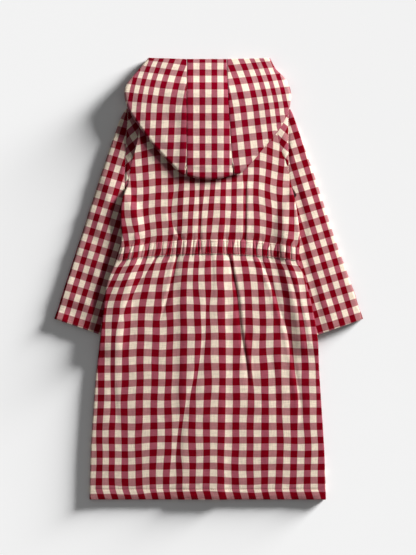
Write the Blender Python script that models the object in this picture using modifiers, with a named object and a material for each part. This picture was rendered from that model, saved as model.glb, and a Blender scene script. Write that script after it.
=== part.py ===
"""A child's hooded dressing gown in woven check, laid flat on its front and seen from behind.

The gown lies on the surface z = 0 with its hood towards +Y.  Every sewn piece is a cloth wall of its own: the
back and the two fronts make the flattened body, two sleeves are flattened tubes, the hood is two sides and a
centre strip folded over the back, and a gathered elastic tunnel crosses the waist.  The sizes below are in
millimetres.  A piece is worked out as the middle surface of its cloth, and Solidify gives it its thickness.
"""

import math
from collections import namedtuple

import bmesh
import bpy
import numpy as np
from mathutils import Vector

MM = 0.001

# Cloth
CLOTH = 3.0  # wall of body and sleeves: woven cotton, thin wadding and lining
HOOD_CLOTH = 5.0  # the hood is padded more
TUNNEL_CLOTH = 1.2  # single cloth gathered over the elastic
SEAM = 0.3  # between two pieces that are sewn together
AIR = 0.9  # between two layers that lie on each other
BEND = 2.1  # radius of the cloth's middle at a rolled side
RISE = 1.1  # straight stretch beside a side seam
LAYER = CLOTH + 1.6  # from the middle of the front to the middle of the back, inside the body
ROLLED = 2 * (BEND + RISE)  # the same at a rolled side
SHOULDER_RISE = 0.6
SHOULDER_BEND = LAYER / 2 - SHOULDER_RISE
UNDERARM_EASE = 0.5  # more room in the side seam where it turns into the underarm

# Body: outline of the flattened body from the shoulder to the hem
Section = namedtuple("Section", "y left right")
BODY = (
    Section(355, -143.5, 142.5),  # shoulder point
    Section(325, -140.5, 138.5),
    Section(297, -139.5, 136.5),
    Section(267, -145.0, 142.5),
    Section(227, -156.0, 156.5),
    Section(193, -161.5, 164.0),  # underarm
    Section(157, -173.5, 172.5),
    Section(123, -176.5, 178.5),
    Section(90, -174.5, 182.5),
    Section(77, -176.5, 182.0),  # top of the elastic tunnel
    Section(49, -185.0, 180.5),  # bottom of the elastic tunnel
    Section(10, -201.0, 193.0),
    Section(-60, -211.5, 209.5),
    Section(-113, -217.5, 218.0),
    Section(-183, -225.5, 221.5),
    Section(-263, -231.5, 226.5),
    Section(-343, -236.5, 231.5),
    Section(-443, -239.0, 235.0),  # hem
)
SHOULDER_Y, UNDERARM_Y, HEM_Y = BODY[0].y, BODY[5].y, BODY[-1].y
NECK_HALF = 85.0  # from the centre to the neck point of the shoulder
NECK_RISE = 17.0  # the neck point above the shoulder point
BACK_NECK_RISE = 6.0  # centre of the back neck above the shoulder point
FRONT_NECK_RISE = -25.0  # centre of the front neck above the shoulder point
STRAIGHTENED_Y = 214.0  # where the rows of the weave lie level again

TUNNEL_TOP, TUNNEL_BOTTOM = BODY[9].y, BODY[10].y
WAIST_DROOP = 13.0  # the rows hang this much lower at the sides of the waist than at the centre
DROOP_Y = (-330.0, 63.0, 156.0)  # the droop comes in, is greatest and has gone at these heights
DROOP_HALF = 175.0  # half the width over which it is measured
HEM_TURN = 8.0  # the back's lower edge turns down over this length
HEM_DROP = 1.3

ARMHOLE_ROWS = (351, 325, 297, 267, 240, 214, 193)
LOWER_ROWS = (189, 175, 160, 130, 100, 84, TUNNEL_TOP, TUNNEL_BOTTOM, 41, 22, -20, -72, -124, -160, -215,
              -280, -350, -415, HEM_Y + HEM_TURN, HEM_Y)

# Soft swells of the back, and the creases that part them.  Checks count the woven columns from the left.
CHECK = 29.0  # one repeat of the check
CHECKS_LEFT_OF_CENTRE = 8.15
SWELL = ((196, 0.0), (165, 2.4), (120, 3.6), (90, 3.0), (77, 1.0), (49, 1.0), (28, 3.8), (-30, 4.2),
         (-160, 3.6), (-300, 2.6), (-420, 1.6), (-443, 1.2))
Crease = namedtuple("Crease", "top bottom check_top check_bottom width depth")
CREASES = (
    Crease(210, 80, 1.0, 1.4, 15, 0.55),
    Crease(215, 74, 4.4, 4.5, 9, 0.95),
    Crease(205, 80, 7.4, 7.5, 10, 0.75),
    Crease(215, 74, 11.0, 10.9, 9, 0.95),
    Crease(205, 80, 13.9, 14.2, 11, 0.80),
    Crease(50, -190, 2.8, 1.4, 10, 0.95),
    Crease(50, -90, 4.6, 4.7, 9, 0.80),
    Crease(50, -400, 7.6, 6.6, 12, 0.85),
    Crease(54, -380, 10.1, 10.6, 9, 1.00),
    Crease(50, -240, 12.4, 13.6, 10, 0.95),
    Crease(40, -420, 14.9, 15.5, 12, 0.70),
)
BACK_STATIONS = 44
CREASE_FADE = 45.0  # a crease comes in and dies away over this length
STEEPEST = 0.95  # sine of the steepest slope of the cloth

NECK_LIFT = 1.4  # the back's neck lies over the hood's front parts
LIFT_Y = (300.0, 328.0)
LIFT_X = (92.0, 70.0)

# Front opening: the right front laps over the left one, whose edge lies inside
LAP_HALF = 20.0
LAP_RAMP = 24.0
LAP_CLEAR = (24.0, 4.0)  # the back lies down again beside the lap over this width

# Sleeves: the rings run from the armhole to the cuff, each from the outer fold to the inner fold
Ring = namedtuple("Ring", "outer_x outer_y inner_x inner_y bow height")
LEFT_RINGS = (
    Ring(-149, 354, -165, 188, 0.95, 8.2),
    Ring(-158, 348, -168, 185, 0.85, 8.4),
    Ring(-168, 336, -171, 181, 0.55, 6.4),
    Ring(-177, 319, -173, 177, 0.35, 8.0),
    Ring(-190, 283, -175, 172, 0.15, 8.4),
    Ring(-204, 243, -173, 164, 0.0, 8.3),
    Ring(-218, 203, -166, 153, 0.0, 8.2),
    Ring(-232, 160, -157, 135, 0.0, 8.0),
    Ring(-247, 113, -152, 97, 0.0, 8.0),
    Ring(-264, 60, -157, 42, 0.0, 7.9),
    Ring(-283, 2, -170, -22, 0.0, 7.8),
    Ring(-300, -52, -184, -82, 0.0, 7.6),
    Ring(-309.5, -81, -192, -121.5, 0.0, 7.2),
)
RIGHT_RINGS = tuple(r._replace(outer_x=-r.outer_x - shift, inner_x=-r.inner_x + 2.0) for r, shift in
                    zip(LEFT_RINGS, (1, 1, 3, 5, 6, 6, 5, 5, 5, 4, 2, 0.5, 0)))
SLEEVE_BOTTOM = CLOTH / 2
SLEEVE_END_LEVEL = 3.0  # the sleeve is level for this far beside the armhole
UNDER_HOOD_Y = (292.0, 318.0)
UNDER_HOOD_X = (180.0, 169.0)
ARMHOLE_TOP = CLOTH / 2 + LAYER
COVERED_TOP = 6.0  # middle of a sleeve's upper layer under the body
COVER_RISE = 14.0  # beyond the body's edge the sleeve swells over this width
COVER_Y = (192.0, 158.0, -122.0, -158.0)  # the body lies over the sleeve between these heights

# Hood: rows from the face opening round to the crown's fold, one table for each side
HoodRow = namedtuple("HoodRow", "seam_y fold_x fold_y under_x under_y bend_x bend_y")
LEFT_HOOD = (
    HoodRow(439.5, -120.5, 442, -3.0, 332, -62, 387),
    HoodRow(424, -137.5, 421.5, -30.0, 334, -46, 392),
    HoodRow(408, -152.0, 404.5, -56.0, 340, -58, 396),
    HoodRow(392, -163.5, 390, -85.0, 375.5, -63, 393),
    HoodRow(376, -168.5, 376, -84.0, 378.5, -128, 379),
    HoodRow(360, -167.5, 358, -72.0, 367, -118, 364),
    HoodRow(340, -159.5, 335, -58.0, 363, -107, 350),
    HoodRow(315, -139.0, 304, -44.0, 361, -91, 333),
    HoodRow(290, -111.0, 266, -44.0, 330, -77, 298),
    HoodRow(264, -80.5, 233, -44.0, 296, -62, 264),
    HoodRow(238, -58.0, 211, -44.0, 258, -51, 234),
)
RIGHT_HOOD_FOLDS = ((122.5, 441.5), (134.5, 419), (151, 402), (160.5, 386), (164.5, 371), (164, 355),
                    (159.5, 334), (141, 298), (113.5, 265), (86, 232), (64, 211))
CROWN_Y = 197.5  # the crown's fold, at the foot of the centre strip
CROWN_ROUND = 8.5  # how much higher that fold lies at the strip's seams
CROWN_HALF = 46.0
CROWN_TURN = 15.0  # from the fold to the last row of the top layer
STRIP_LEFT = -44.0
STRIP_RIGHT = ((439.5, 36.0), (361, 39.0), (264, 45.0), (CROWN_Y, 48.0))
HOOD_SEAM = 0.5
CROWN_EASE = 1.7  # the sides keep this much more from the strip where they turn round the crown
HOOD_AIR = 3.4  # between the hood's two layers
HOOD_LAYER = HOOD_CLOTH + HOOD_AIR
HOOD_ON_BACK = CLOTH / 2 + AIR + HOOD_CLOTH / 2
FACE_EDGE_LAYER = HOOD_CLOTH + 2.2
UNDER_ON_FLOOR = 4  # the first rows' under side lies on the surface, and ends at the front neck
BRIDGE_Y = (377.0, 396.0, 434.0)  # between face and shoulder the under side arches clear of the surface
BRIDGE_HEIGHT = 3.5
STRIP_UNDER_FROM = 7  # from this row on, the under side ends at the centre strip
NECK_EASE = 2.0
HOOD_TOP_Y = (418.0, 368.0)  # the top layer climbs from the surface onto the body between these

# Elastic tunnel
GATHERS = 34
POINTS_PER_GATHER = 4
GATHER_HEIGHT = 1.5  # from the middle line to a crest
TUNNEL_ENDS = (-165.0, 168.0)

MATERIALS = {
    "body_cloth": ((0.62, 0.22, 0.28, 1.0), 0.85),
    "sleeve_cloth": ((0.60, 0.20, 0.27, 1.0), 0.85),
    "hood_cloth": ((0.64, 0.24, 0.30, 1.0), 0.85),
    "tunnel_cloth": ((0.66, 0.27, 0.32, 1.0), 0.85),
}


# ---------------------------------------------------------------------------------------------- small helpers
def clear_scene():
    """Removes whatever the scene holds."""
    for thing in list(bpy.data.objects):
        bpy.data.objects.remove(thing)


def eased(t):
    """0 below 0, 1 above 1 and a soft step between."""
    t = min(1.0, max(0.0, t))
    return t * t * (3 - 2 * t)


def ramp(value, start, end):
    """Soft step that is 0 at start and 1 at end, whichever is larger."""
    return eased((value - start) / (end - start))


def smooth_curve(points):
    """A function through (at, value) points, with a smooth slope at each."""
    points = sorted(points)
    at = np.array([p[0] for p in points], float)
    value = np.array([p[1] for p in points], float)
    slope = np.gradient(value, at)

    def curve(x):
        x = min(max(x, at[0]), at[-1])
        i = min(int(np.searchsorted(at, x, side="right")) - 1, len(at) - 2)
        step = at[i + 1] - at[i]
        t = (x - at[i]) / step
        a, b = value[i], value[i + 1]
        return (a * (1 + 2 * t) * (1 - t) ** 2 + slope[i] * step * t * (1 - t) ** 2
                + b * t * t * (3 - 2 * t) + slope[i + 1] * step * t * t * (t - 1))

    return curve


left_of_body = smooth_curve([(s.y, s.left) for s in BODY])
right_of_body = smooth_curve([(s.y, s.right) for s in BODY])
swell_height = smooth_curve(SWELL)
strip_right = smooth_curve(STRIP_RIGHT)


def inner_fold(rings):
    """x of a sleeve's inner fold at a height y, for the part that the body covers."""
    covered = [(r.inner_y, r.inner_x) for r in rings[5:]]
    return smooth_curve(covered)


left_inner_fold = inner_fold(LEFT_RINGS)
right_inner_fold = inner_fold(RIGHT_RINGS)


def cover(y):
    """1 where the body lies over the sleeves, and 0 above the underarm and below the cuff."""
    return ramp(y, COVER_Y[0], COVER_Y[1]) * ramp(y, COVER_Y[3], COVER_Y[2])


def front_height(x, y):
    """Middle of the fronts over the surface: flat, and lifted where a sleeve lies beneath."""
    lifted = COVERED_TOP + CLOTH + AIR - CLOTH / 2
    over_left = ramp(x, left_inner_fold(y) + 28, left_inner_fold(y) + 3)
    over_right = ramp(x, right_inner_fold(y) - 28, right_inner_fold(y) - 3)
    return CLOTH / 2 + lifted * cover(y) * max(over_left, over_right)


def lap_height(x):
    """How much the inner front is lifted by the outer one."""
    return (CLOTH + SEAM) * ramp(x, -LAP_HALF - LAP_RAMP, -LAP_HALF - 2)


def edge_distance(x, y):
    """Distance from the nearer side of the body."""
    return min(x - left_of_body(y), right_of_body(y) - x)


def back_height(x, y):
    """Middle of the back without its swells."""
    side = ramp(edge_distance(x, y), 55, 12) * ramp(y, UNDERARM_Y, LOWER_ROWS[0])
    outside_lap = max(-LAP_HALF - LAP_RAMP - x, x - LAP_HALF)
    lap = (CLOTH + SEAM) * ramp(outside_lap, *LAP_CLEAR)
    neck = NECK_LIFT * ramp(y, *LIFT_Y) * ramp(abs(x), *LIFT_X)
    return front_height(x, y) + LAYER + (ROLLED - LAYER) * side + lap + neck


def neck_rise(x, centre_rise):
    """How far the top row lies above the shoulder point, along the shoulder and round the neck."""
    if abs(x) >= NECK_HALF:
        reach = abs(left_of_body(SHOULDER_Y)) - NECK_HALF
        return NECK_RISE * (1 - (abs(x) - NECK_HALF) / reach)
    return centre_rise + (NECK_RISE - centre_rise) * (abs(x) / NECK_HALF) ** 2.6


def row_y(y, x, centre_rise):
    """y of a row of the body at x: rows follow the shoulder and neck line, and droop beside the waist."""
    low, waist, high = DROOP_Y
    droop = WAIST_DROOP * ramp(y, low, waist) * ramp(y, high, waist) * min(1.0, (x / DROOP_HALF) ** 2)
    return y + neck_rise(x, centre_rise) * ramp(y, STRAIGHTENED_Y, SHOULDER_Y - 30) - droop


def add_material(thing, slot):
    """Gives the object the Principled material of that name."""
    material = bpy.data.materials.get(slot)
    if material is None:
        colour, roughness = MATERIALS[slot]
        material = bpy.data.materials.new(slot)
        material.use_nodes = True
        shader = material.node_tree.nodes["Principled BSDF"]
        shader.inputs["Base Color"].default_value = colour
        shader.inputs["Roughness"].default_value = roughness
        shader.inputs["Metallic"].default_value = 0.0
        material.diffuse_color = colour
    thing.data.materials.append(material)


def cloth_piece(name, points, thickness, slot, collection, closed=False):
    """A cloth wall from a grid of middle points, rows by columns, in millimetres."""
    rows, columns = points.shape[:2]
    sheet = bmesh.new()
    bmesh.ops.create_grid(sheet, x_segments=columns - 1, y_segments=rows - 1, size=1.0)
    for vertex in sheet.verts:
        column = round((vertex.co.x + 1) / 2 * (columns - 1))
        row = round((vertex.co.y + 1) / 2 * (rows - 1))
        vertex.co = Vector(points[row, column]) * MM
    if closed:
        bmesh.ops.remove_doubles(sheet, verts=sheet.verts, dist=0.01 * MM)
    mesh = bpy.data.meshes.new(name)
    sheet.to_mesh(mesh)
    sheet.free()
    thing = bpy.data.objects.new(name, mesh)
    collection.objects.link(thing)
    add_material(thing, slot)
    wall = thing.modifiers.new("Cloth", "SOLIDIFY")
    wall.thickness = thickness * MM
    wall.offset = 0.0
    mesh.shade_smooth()
    mesh.set_sharp_from_angle(angle=math.radians(50))
    return thing


# ------------------------------------------------------------------------------------------------------- body
def crease_at(crease, y):
    """(place across the cut in millimetres, strength) of a crease at a height y."""
    along = (crease.top - y) / (crease.top - crease.bottom)
    check = crease.check_top + (crease.check_bottom - crease.check_top) * along
    strength = ramp(y, crease.top + 6, crease.top - 6) * ramp(y, crease.bottom, crease.bottom + CREASE_FADE)
    return (check - CHECKS_LEFT_OF_CENTRE) * CHECK, strength * crease.depth


def folded_row(y, left, right, stations):
    """(x, swell) along a row of the back from left to right, at equal steps of its cut."""
    cut_half = CHECK * 8.6
    cut = np.linspace(-cut_half, cut_half, 240)
    height = np.ones_like(cut)
    for crease in CREASES:
        place, strength = crease_at(crease, y)
        height *= 1 - strength * np.exp(-((cut - place) / crease.width) ** 2)
    sides = np.clip((cut_half - np.abs(cut)) / 42.0, 0, 1)
    height *= sides * sides * (3 - 2 * sides) * swell_height(y)
    slope = np.clip(np.gradient(height, cut), -STEEPEST, STEEPEST)
    across = np.concatenate([[0], np.cumsum(np.sqrt(1 - slope[1:] ** 2))])
    across = left + (right - left) * across / across[-1]
    at = np.linspace(-cut_half, cut_half, stations)
    return np.interp(at, cut, across), np.interp(at, cut, height)


def side_points(x_edge, inward, y, flat, plateau, seam_side):
    """The four points of a row beside a side or an armhole, from the edge inwards.

    flat is 1 at an armhole, where the cloth ends level, and 0 at a side seam, where it rolls to the seam.
    seam_side is +1 for the back, which rolls down, and -1 for the fronts, which roll up.
    """
    points = []
    level = plateau(x_edge + inward * (CLOTH / 2 + BEND), y)
    angles = (0.0, 0.0, math.radians(45), math.radians(90))
    for i, angle in enumerate(angles):
        ease = UNDERARM_EASE * ramp(y, LOWER_ROWS[2], LOWER_ROWS[0])
        drop = BEND * (1 - math.sin(angle)) + (RISE - SEAM - ease if i == 0 else 0.0)
        rolled = (x_edge + inward * (CLOTH / 2 + BEND * (1 - math.cos(angle))), level - seam_side * drop)
        inset = SEAM / 2 + (CLOTH / 2 + BEND) * i / 3
        level_x = x_edge + inward * inset
        lying = (level_x, plateau(level_x, y))
        points.append([rolled[k] * (1 - flat) + lying[k] * flat for k in (0, 1)])
    return points


def body_rows():
    """Heights of the body's rows below the rolled shoulder, from the armhole's top to the hem."""
    return list(ARMHOLE_ROWS) + list(LOWER_ROWS)


def row_flatness(y):
    """1 on the armhole's rows and 0 below the underarm."""
    return 1.0 if y >= UNDERARM_Y else 0.0


def with_shoulder(rows_of_points, centre_rise, seam_side, joined):
    """Adds the rows that roll over the shoulder to the shoulder seam, or end level round the neck."""
    first = rows_of_points[0]
    top_rows = []
    angles = (0.0, 0.0, math.radians(45))
    for i, angle in enumerate(angles):
        row = []
        for x, _, z in first:
            line = row_y(SHOULDER_Y, x, centre_rise)
            drop = SHOULDER_BEND * (1 - math.sin(angle)) + (SHOULDER_RISE - 1.5 * SEAM if i == 0 else 0.0)
            rolled = (line - CLOTH / 2 - SHOULDER_BEND * (1 - math.cos(angle)), z - seam_side * drop)
            level = (line - SEAM / 2 - (CLOTH / 2 + SHOULDER_BEND) * i / 3, z)
            sewn = 1.0 if joined(x) else 0.0
            row.append([x] + [rolled[k] * sewn + level[k] * (1 - sewn) for k in (0, 1)])
        top_rows.append(row)
    return top_rows + rows_of_points


def on_shoulder(x):
    """Whether x lies on the shoulder seam, and not in the neck."""
    return abs(x) > NECK_HALF + 1


def back_plateau(x, y):
    """Middle of the back without its swells, and with its lower edge turned down."""
    turned_down = HEM_DROP * ramp(y, HEM_Y + HEM_TURN, HEM_Y)
    return back_height(x, y) - turned_down * ramp(edge_distance(x, y), 6, 20)


def back_line(y):
    """(x, z) points of the back's row at y, from its left seam to its right seam."""
    flat = row_flatness(y)
    left_side = side_points(left_of_body(y), 1, y, flat, back_plateau, 1)
    right_side = side_points(right_of_body(y), -1, y, flat, back_plateau, 1)[::-1]
    across, swell = folded_row(y, left_side[-1][0], right_side[0][0], BACK_STATIONS)
    middle = [[x, back_plateau(x, y) + h] for x, h in zip(across[1:-1], swell[1:-1])]
    return left_side + middle + right_side


def make_back(collection):
    """The back: one piece from neck to hem, in soft swells parted by creases."""
    rows = [[[x, row_y(y, x, BACK_NECK_RISE), z] for x, z in back_line(y)] for y in body_rows()]
    rows = with_shoulder(rows, BACK_NECK_RISE, 1, on_shoulder)
    return cloth_piece("back", np.array(rows), CLOTH, "body_cloth", collection)


def make_front(name, side, collection):
    """One front, from its side seam to its edge past the centre; side is -1 for left and +1 for right."""
    inner = side < 0
    edge_of_body = left_of_body if inner else right_of_body
    fold = left_inner_fold if inner else right_inner_fold

    def plateau(x, y):
        return front_height(x, y) + (lap_height(x) if inner else 0.0)

    rows = []
    for y in body_rows():
        edge, inward = edge_of_body(y), -side
        flat = row_flatness(y)
        line = side_points(edge, inward, y, flat, plateau, -1)
        near = line[-1][0]
        sleeve = near + inward * max(4.0, inward * (fold(min(y, COVER_Y[1])) - near))
        stops = [(near + sleeve) / 2] + [sleeve + inward * step for step in (3, 10, 20, 28)]
        centre_edge = inward * LAP_HALF
        if inner:
            ramp_foot = -LAP_HALF - LAP_RAMP
            stops += [ramp_foot - 26, ramp_foot, ramp_foot + LAP_RAMP / 2, -LAP_HALF - 2, 0.0]
        else:
            stops += [LAP_HALF + 50, LAP_HALF + 32, LAP_HALF + 15, 0.0]
        line += [[x, plateau(x, y)] for x in stops + [centre_edge]]
        rows.append([[x, row_y(y, x, FRONT_NECK_RISE), z] for x, z in line])
    rows = with_shoulder(rows, FRONT_NECK_RISE, -1, on_shoulder)
    rows = np.array(rows)
    if not inner:
        rows = rows[:, ::-1]
    return cloth_piece(name, rows, CLOTH, "body_cloth", collection)


def make_tunnel(collection):
    """The elastic tunnel: a band gathered into small upright folds, made from the back's own points."""
    upper, lower = (np.array(back_line(y)[3:-3]) for y in (TUNNEL_TOP, TUNNEL_BOTTOM))
    left, right = TUNNEL_ENDS
    steps = GATHERS * POINTS_PER_GATHER
    clear = CLOTH / 2 + AIR + TUNNEL_CLOTH / 2
    depth = TUNNEL_TOP - TUNNEL_BOTTOM
    rows = []
    for inset, height in ((1, 0.55), (8, 1.0), (depth - 8, 1.0), (depth - 1, 0.55)):
        y = TUNNEL_TOP - inset
        share = inset / depth
        row = []
        for step in range(steps + 1):
            x = left + (right - left) * step / steps
            lies_on = np.interp(x, *upper.T) * (1 - share) + np.interp(x, *lower.T) * share
            wave = 0.5 - 0.5 * math.cos(2 * math.pi * step / POINTS_PER_GATHER)
            row.append([x, row_y(y, x, 0.0), lies_on + clear + 2 * GATHER_HEIGHT * height * wave])
        rows.append(row)
    return cloth_piece("waist_tunnel", np.array(rows), TUNNEL_CLOTH, "tunnel_cloth", collection)


# ------------------------------------------------------------------------------------------------- sleeves
def sleeve_ring_plan(ring, armhole, q):
    """(x, y) at the fraction q from a ring's outer fold to its inner fold."""
    start, end = np.array(armhole[0]), np.array(armhole[-1])
    along = np.interp(q, np.linspace(0, 1, len(armhole)), np.arange(len(armhole)))
    lower = min(int(along), len(armhole) - 2)
    share = along - lower
    on_armhole = np.array(armhole[lower]) * (1 - share) + np.array(armhole[lower + 1]) * share
    bowed = on_armhole - (start * (1 - q) + end * q)
    outer, inner = np.array([ring.outer_x, ring.outer_y]), np.array([ring.inner_x, ring.inner_y])
    return outer * (1 - q) + inner * q + bowed * ring.bow


def beyond(two_points):
    """Unit direction that carries on from the first point through the second."""
    step = np.array(two_points[1]) - np.array(two_points[0])
    return step / np.linalg.norm(step)


def make_sleeve(name, rings, edge_of_body, side, collection):
    """A sleeve: one flattened tube from the armhole to the cuff, part of it under the body."""
    plateau_points = len(ARMHOLE_ROWS)
    rows_up = ARMHOLE_ROWS[::-1]
    edge = [edge_of_body(y) + side * SEAM / 2 for y in rows_up]
    lowest = UNDERARM_Y + CLOTH / 2 + (ARMHOLE_TOP - SLEEVE_BOTTOM) / 2
    armhole = [(float(np.interp(y, rows_up, edge)), row_y(y, edge_of_body(y), 0.0))
               for y in ARMHOLE_ROWS[:-1] + (lowest,)]

    def top_height(x, y, free):
        outside = side * (x - edge_of_body(y))
        covered = ramp(y, COVER_Y[0], COVER_Y[1]) * ramp(outside, 7 + COVER_RISE, 7)
        hooded = ramp(y, *UNDER_HOOD_Y) * ramp(abs(x), *UNDER_HOOD_X)
        free = free * (1 - hooded) + min(free, ARMHOLE_TOP) * hooded
        return free * (1 - covered) + COVERED_TOP * covered

    rows = []
    # The open end follows the armhole, and its two ends turn round the shoulder and the underarm.
    level = side * SLEEVE_END_LEVEL
    ends = [Ring(armhole[0][0] + shift, SHOULDER_Y, armhole[-1][0] + shift, UNDERARM_Y, 0.0, ARMHOLE_TOP)
            for shift in (0.0, level)]
    for number, ring in enumerate(ends + list(rings)):
        outer, inner = np.array([ring.outer_x, ring.outer_y]), np.array([ring.inner_x, ring.inner_y])
        run = beyond((outer, inner))
        aways = (run, -run)
        if number < len(ends):
            aways = (beyond(armhole[-2:]), beyond(armhole[1::-1]))
        top = []
        for i in range(plateau_points):
            q = i / (plateau_points - 1)
            if number < len(ends):
                place = np.array(armhole[i]) + np.array([number * level, 0.0])
            else:
                length = np.linalg.norm(inner - outer)
                end = (CLOTH / 2 + (ring.height - SLEEVE_BOTTOM) / 2) / length
                end_inner = (CLOTH / 2 + (COVERED_TOP - SLEEVE_BOTTOM) / 2) / length
                place = sleeve_ring_plan(ring, armhole, end + (1 - end - end_inner) * q)
            top.append([place[0], place[1], top_height(place[0], place[1], ring.height)])
        loop = []
        for corner, away in zip((top[-1], top[0]), aways):
            radius = (corner[2] - SLEEVE_BOTTOM) / 2
            turns = (45, 0, -45) if corner is top[-1] else (-45, 0, 45)
            arc = [[corner[0] + away[0] * radius * math.cos(math.radians(a)),
                    corner[1] + away[1] * radius * math.cos(math.radians(a)),
                    SLEEVE_BOTTOM + radius * (1 + math.sin(math.radians(a)))] for a in turns]
            loop.append(arc)
        under = [[x, y, SLEEVE_BOTTOM] for x, y, _ in top[::-1]]
        ring_points = top + loop[0] + under + loop[1] + [top[0]]
        rows.append(ring_points)
    rows = np.array(rows)
    if side > 0:
        rows = rows[:, ::-1]
    return cloth_piece(name, rows, CLOTH, "sleeve_cloth", collection, closed=True)


# ---------------------------------------------------------------------------------------------------- hood
def hood_under_height(x, y, row):
    """Middle of the hood's under side: on the surface by the face, and on the back elsewhere."""
    if row >= UNDER_ON_FLOOR:
        return back_height(x, min(y, 350)) + HOOD_ON_BACK
    low, highest, high = BRIDGE_Y
    return HOOD_CLOTH / 2 + BRIDGE_HEIGHT * ramp(y, low, highest) * ramp(y, high, highest)


def hood_top_height(x, y):
    """Middle of the hood's top layer."""
    low = HOOD_CLOTH / 2 + FACE_EDGE_LAYER
    high = back_height(x, min(y, 350)) + HOOD_ON_BACK + HOOD_LAYER
    return low + (high - low) * ramp(y, HOOD_TOP_Y[0], HOOD_TOP_Y[1])


def hood_line(start, fold, bend, end, row, tops=6, unders=5):
    """Points of one row of the hood, from its seam on top, round the fold, to its seam beneath."""
    start, fold, bend, end = (np.array(p, float) for p in (start, fold, bend, end))
    into = (start - fold) / np.linalg.norm(start - fold)
    top_z = hood_top_height(*(fold + into * HOOD_LAYER / 2))
    under_z = hood_under_height(fold[0], fold[1], row)
    radius = (top_z - under_z) / 2
    centre = fold + into * (HOOD_CLOTH / 2 + radius)
    line = []
    for i in range(tops):
        x, y = start + (centre - start) * i / tops
        line.append([x, y, hood_top_height(x, y)])
    for angle in (90, 45, 0, -45, -90):
        turn = math.radians(angle)
        x, y = centre - into * radius * math.cos(turn)
        line.append([x, y, under_z + radius * (1 + math.sin(turn))])
    for i in range(1, unders + 1):
        t = i / unders
        x, y = centre * (1 - t) ** 2 + bend * 2 * t * (1 - t) + end * t * t
        line.append([x, y, hood_under_height(x, y, row)])
    return line


def crown_line(x):
    """The row at a strip seam, which only turns round the crown's fold."""
    fold_y = CROWN_Y + CROWN_ROUND * (x / CROWN_HALF) ** 2
    last = fold_y + CROWN_TURN
    return hood_line((x, last), (x, fold_y), (x, last + 3), (x, last + 10), len(LEFT_HOOD))


def make_hood_side(name, table, side, collection):
    """One side of the hood, from the strip's seam round the outer fold to the neck."""
    rows = []
    for number, row in enumerate(table):
        seam_x = (STRIP_LEFT if side < 0 else strip_right(row.seam_y)) + side * HOOD_SEAM / 2
        under_x, under_y = row.under_x, row.under_y
        if number < UNDER_ON_FLOOR - 1:
            under_y = row_y(SHOULDER_Y, under_x, FRONT_NECK_RISE) + NECK_EASE
        elif number >= STRIP_UNDER_FROM:
            under_x = (STRIP_LEFT if side < 0 else strip_right(row.under_y)) + side * HOOD_SEAM / 2
        rows.append(hood_line((seam_x, row.seam_y), (row.fold_x, row.fold_y), (row.bend_x, row.bend_y),
                              (under_x, under_y), number))
    seam_x = (STRIP_LEFT if side < 0 else strip_right(CROWN_Y)) + side * (HOOD_SEAM / 2 + CROWN_EASE)
    rows.append(crown_line(seam_x))
    rows = np.array(rows)
    if side > 0:
        rows = rows[:, ::-1]
    return cloth_piece(name, rows, HOOD_CLOTH, "hood_cloth", collection)


def make_hood_strip(collection, columns=9):
    """The centre strip, from the face opening over the crown's fold and back under to the nape."""
    top = [row.seam_y for row in LEFT_HOOD]
    under = [row.under_y for row in LEFT_HOOD[:STRIP_UNDER_FROM - 1:-1]]
    lines = []
    for i in range(columns):
        share = i / (columns - 1)

        def across(y):
            left, right = STRIP_LEFT + HOOD_SEAM / 2, strip_right(y) - HOOD_SEAM / 2
            return left + (right - left) * share

        line = [[across(y), y, hood_top_height(across(y), y)] for y in top]
        line += crown_line(across(CROWN_Y))
        line += [[across(y), y, hood_under_height(across(y), y, len(LEFT_HOOD))] for y in under]
        lines.append(line)
    return cloth_piece("hood_strip", np.array(lines)[::-1], HOOD_CLOTH, "hood_cloth", collection)


def right_hood_table():
    """The right side's rows: the left side's, mirrored, with their own folds."""
    rows = []
    for row, (fold_x, fold_y) in zip(LEFT_HOOD, RIGHT_HOOD_FOLDS):
        rows.append(row._replace(fold_x=fold_x, fold_y=fold_y, under_x=-row.under_x, bend_x=-row.bend_x))
    return rows


def main():
    clear_scene()
    gown = bpy.data.collections.new("hooded_dressing_gown")
    bpy.context.scene.collection.children.link(gown)
    make_front("front_right", 1, gown)
    make_front("front_left", -1, gown)
    make_back(gown)
    make_tunnel(gown)
    make_sleeve("sleeve_left", LEFT_RINGS, left_of_body, -1, gown)
    make_sleeve("sleeve_right", RIGHT_RINGS, right_of_body, 1, gown)
    make_hood_side("hood_side_left", LEFT_HOOD, -1, gown)
    make_hood_side("hood_side_right", right_hood_table(), 1, gown)
    make_hood_strip(gown)


main()
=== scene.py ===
"""A child's hooded dressing gown in woven gingham, laid flat on its front and seen from behind.

Every sewn piece is a wall of cloth round a middle surface.  The middle surfaces are worked out in
millimetres from the gown's own sizes: the outline of the body, the rings of the sleeves, the rows of the hood
and the creases that part the soft swells of the back.  The gingham lies on each piece's own map, counted in
checks.
"""
import logging
import math
from dataclasses import dataclass
from enum import Enum
from typing import Callable, NamedTuple, Sequence

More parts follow.
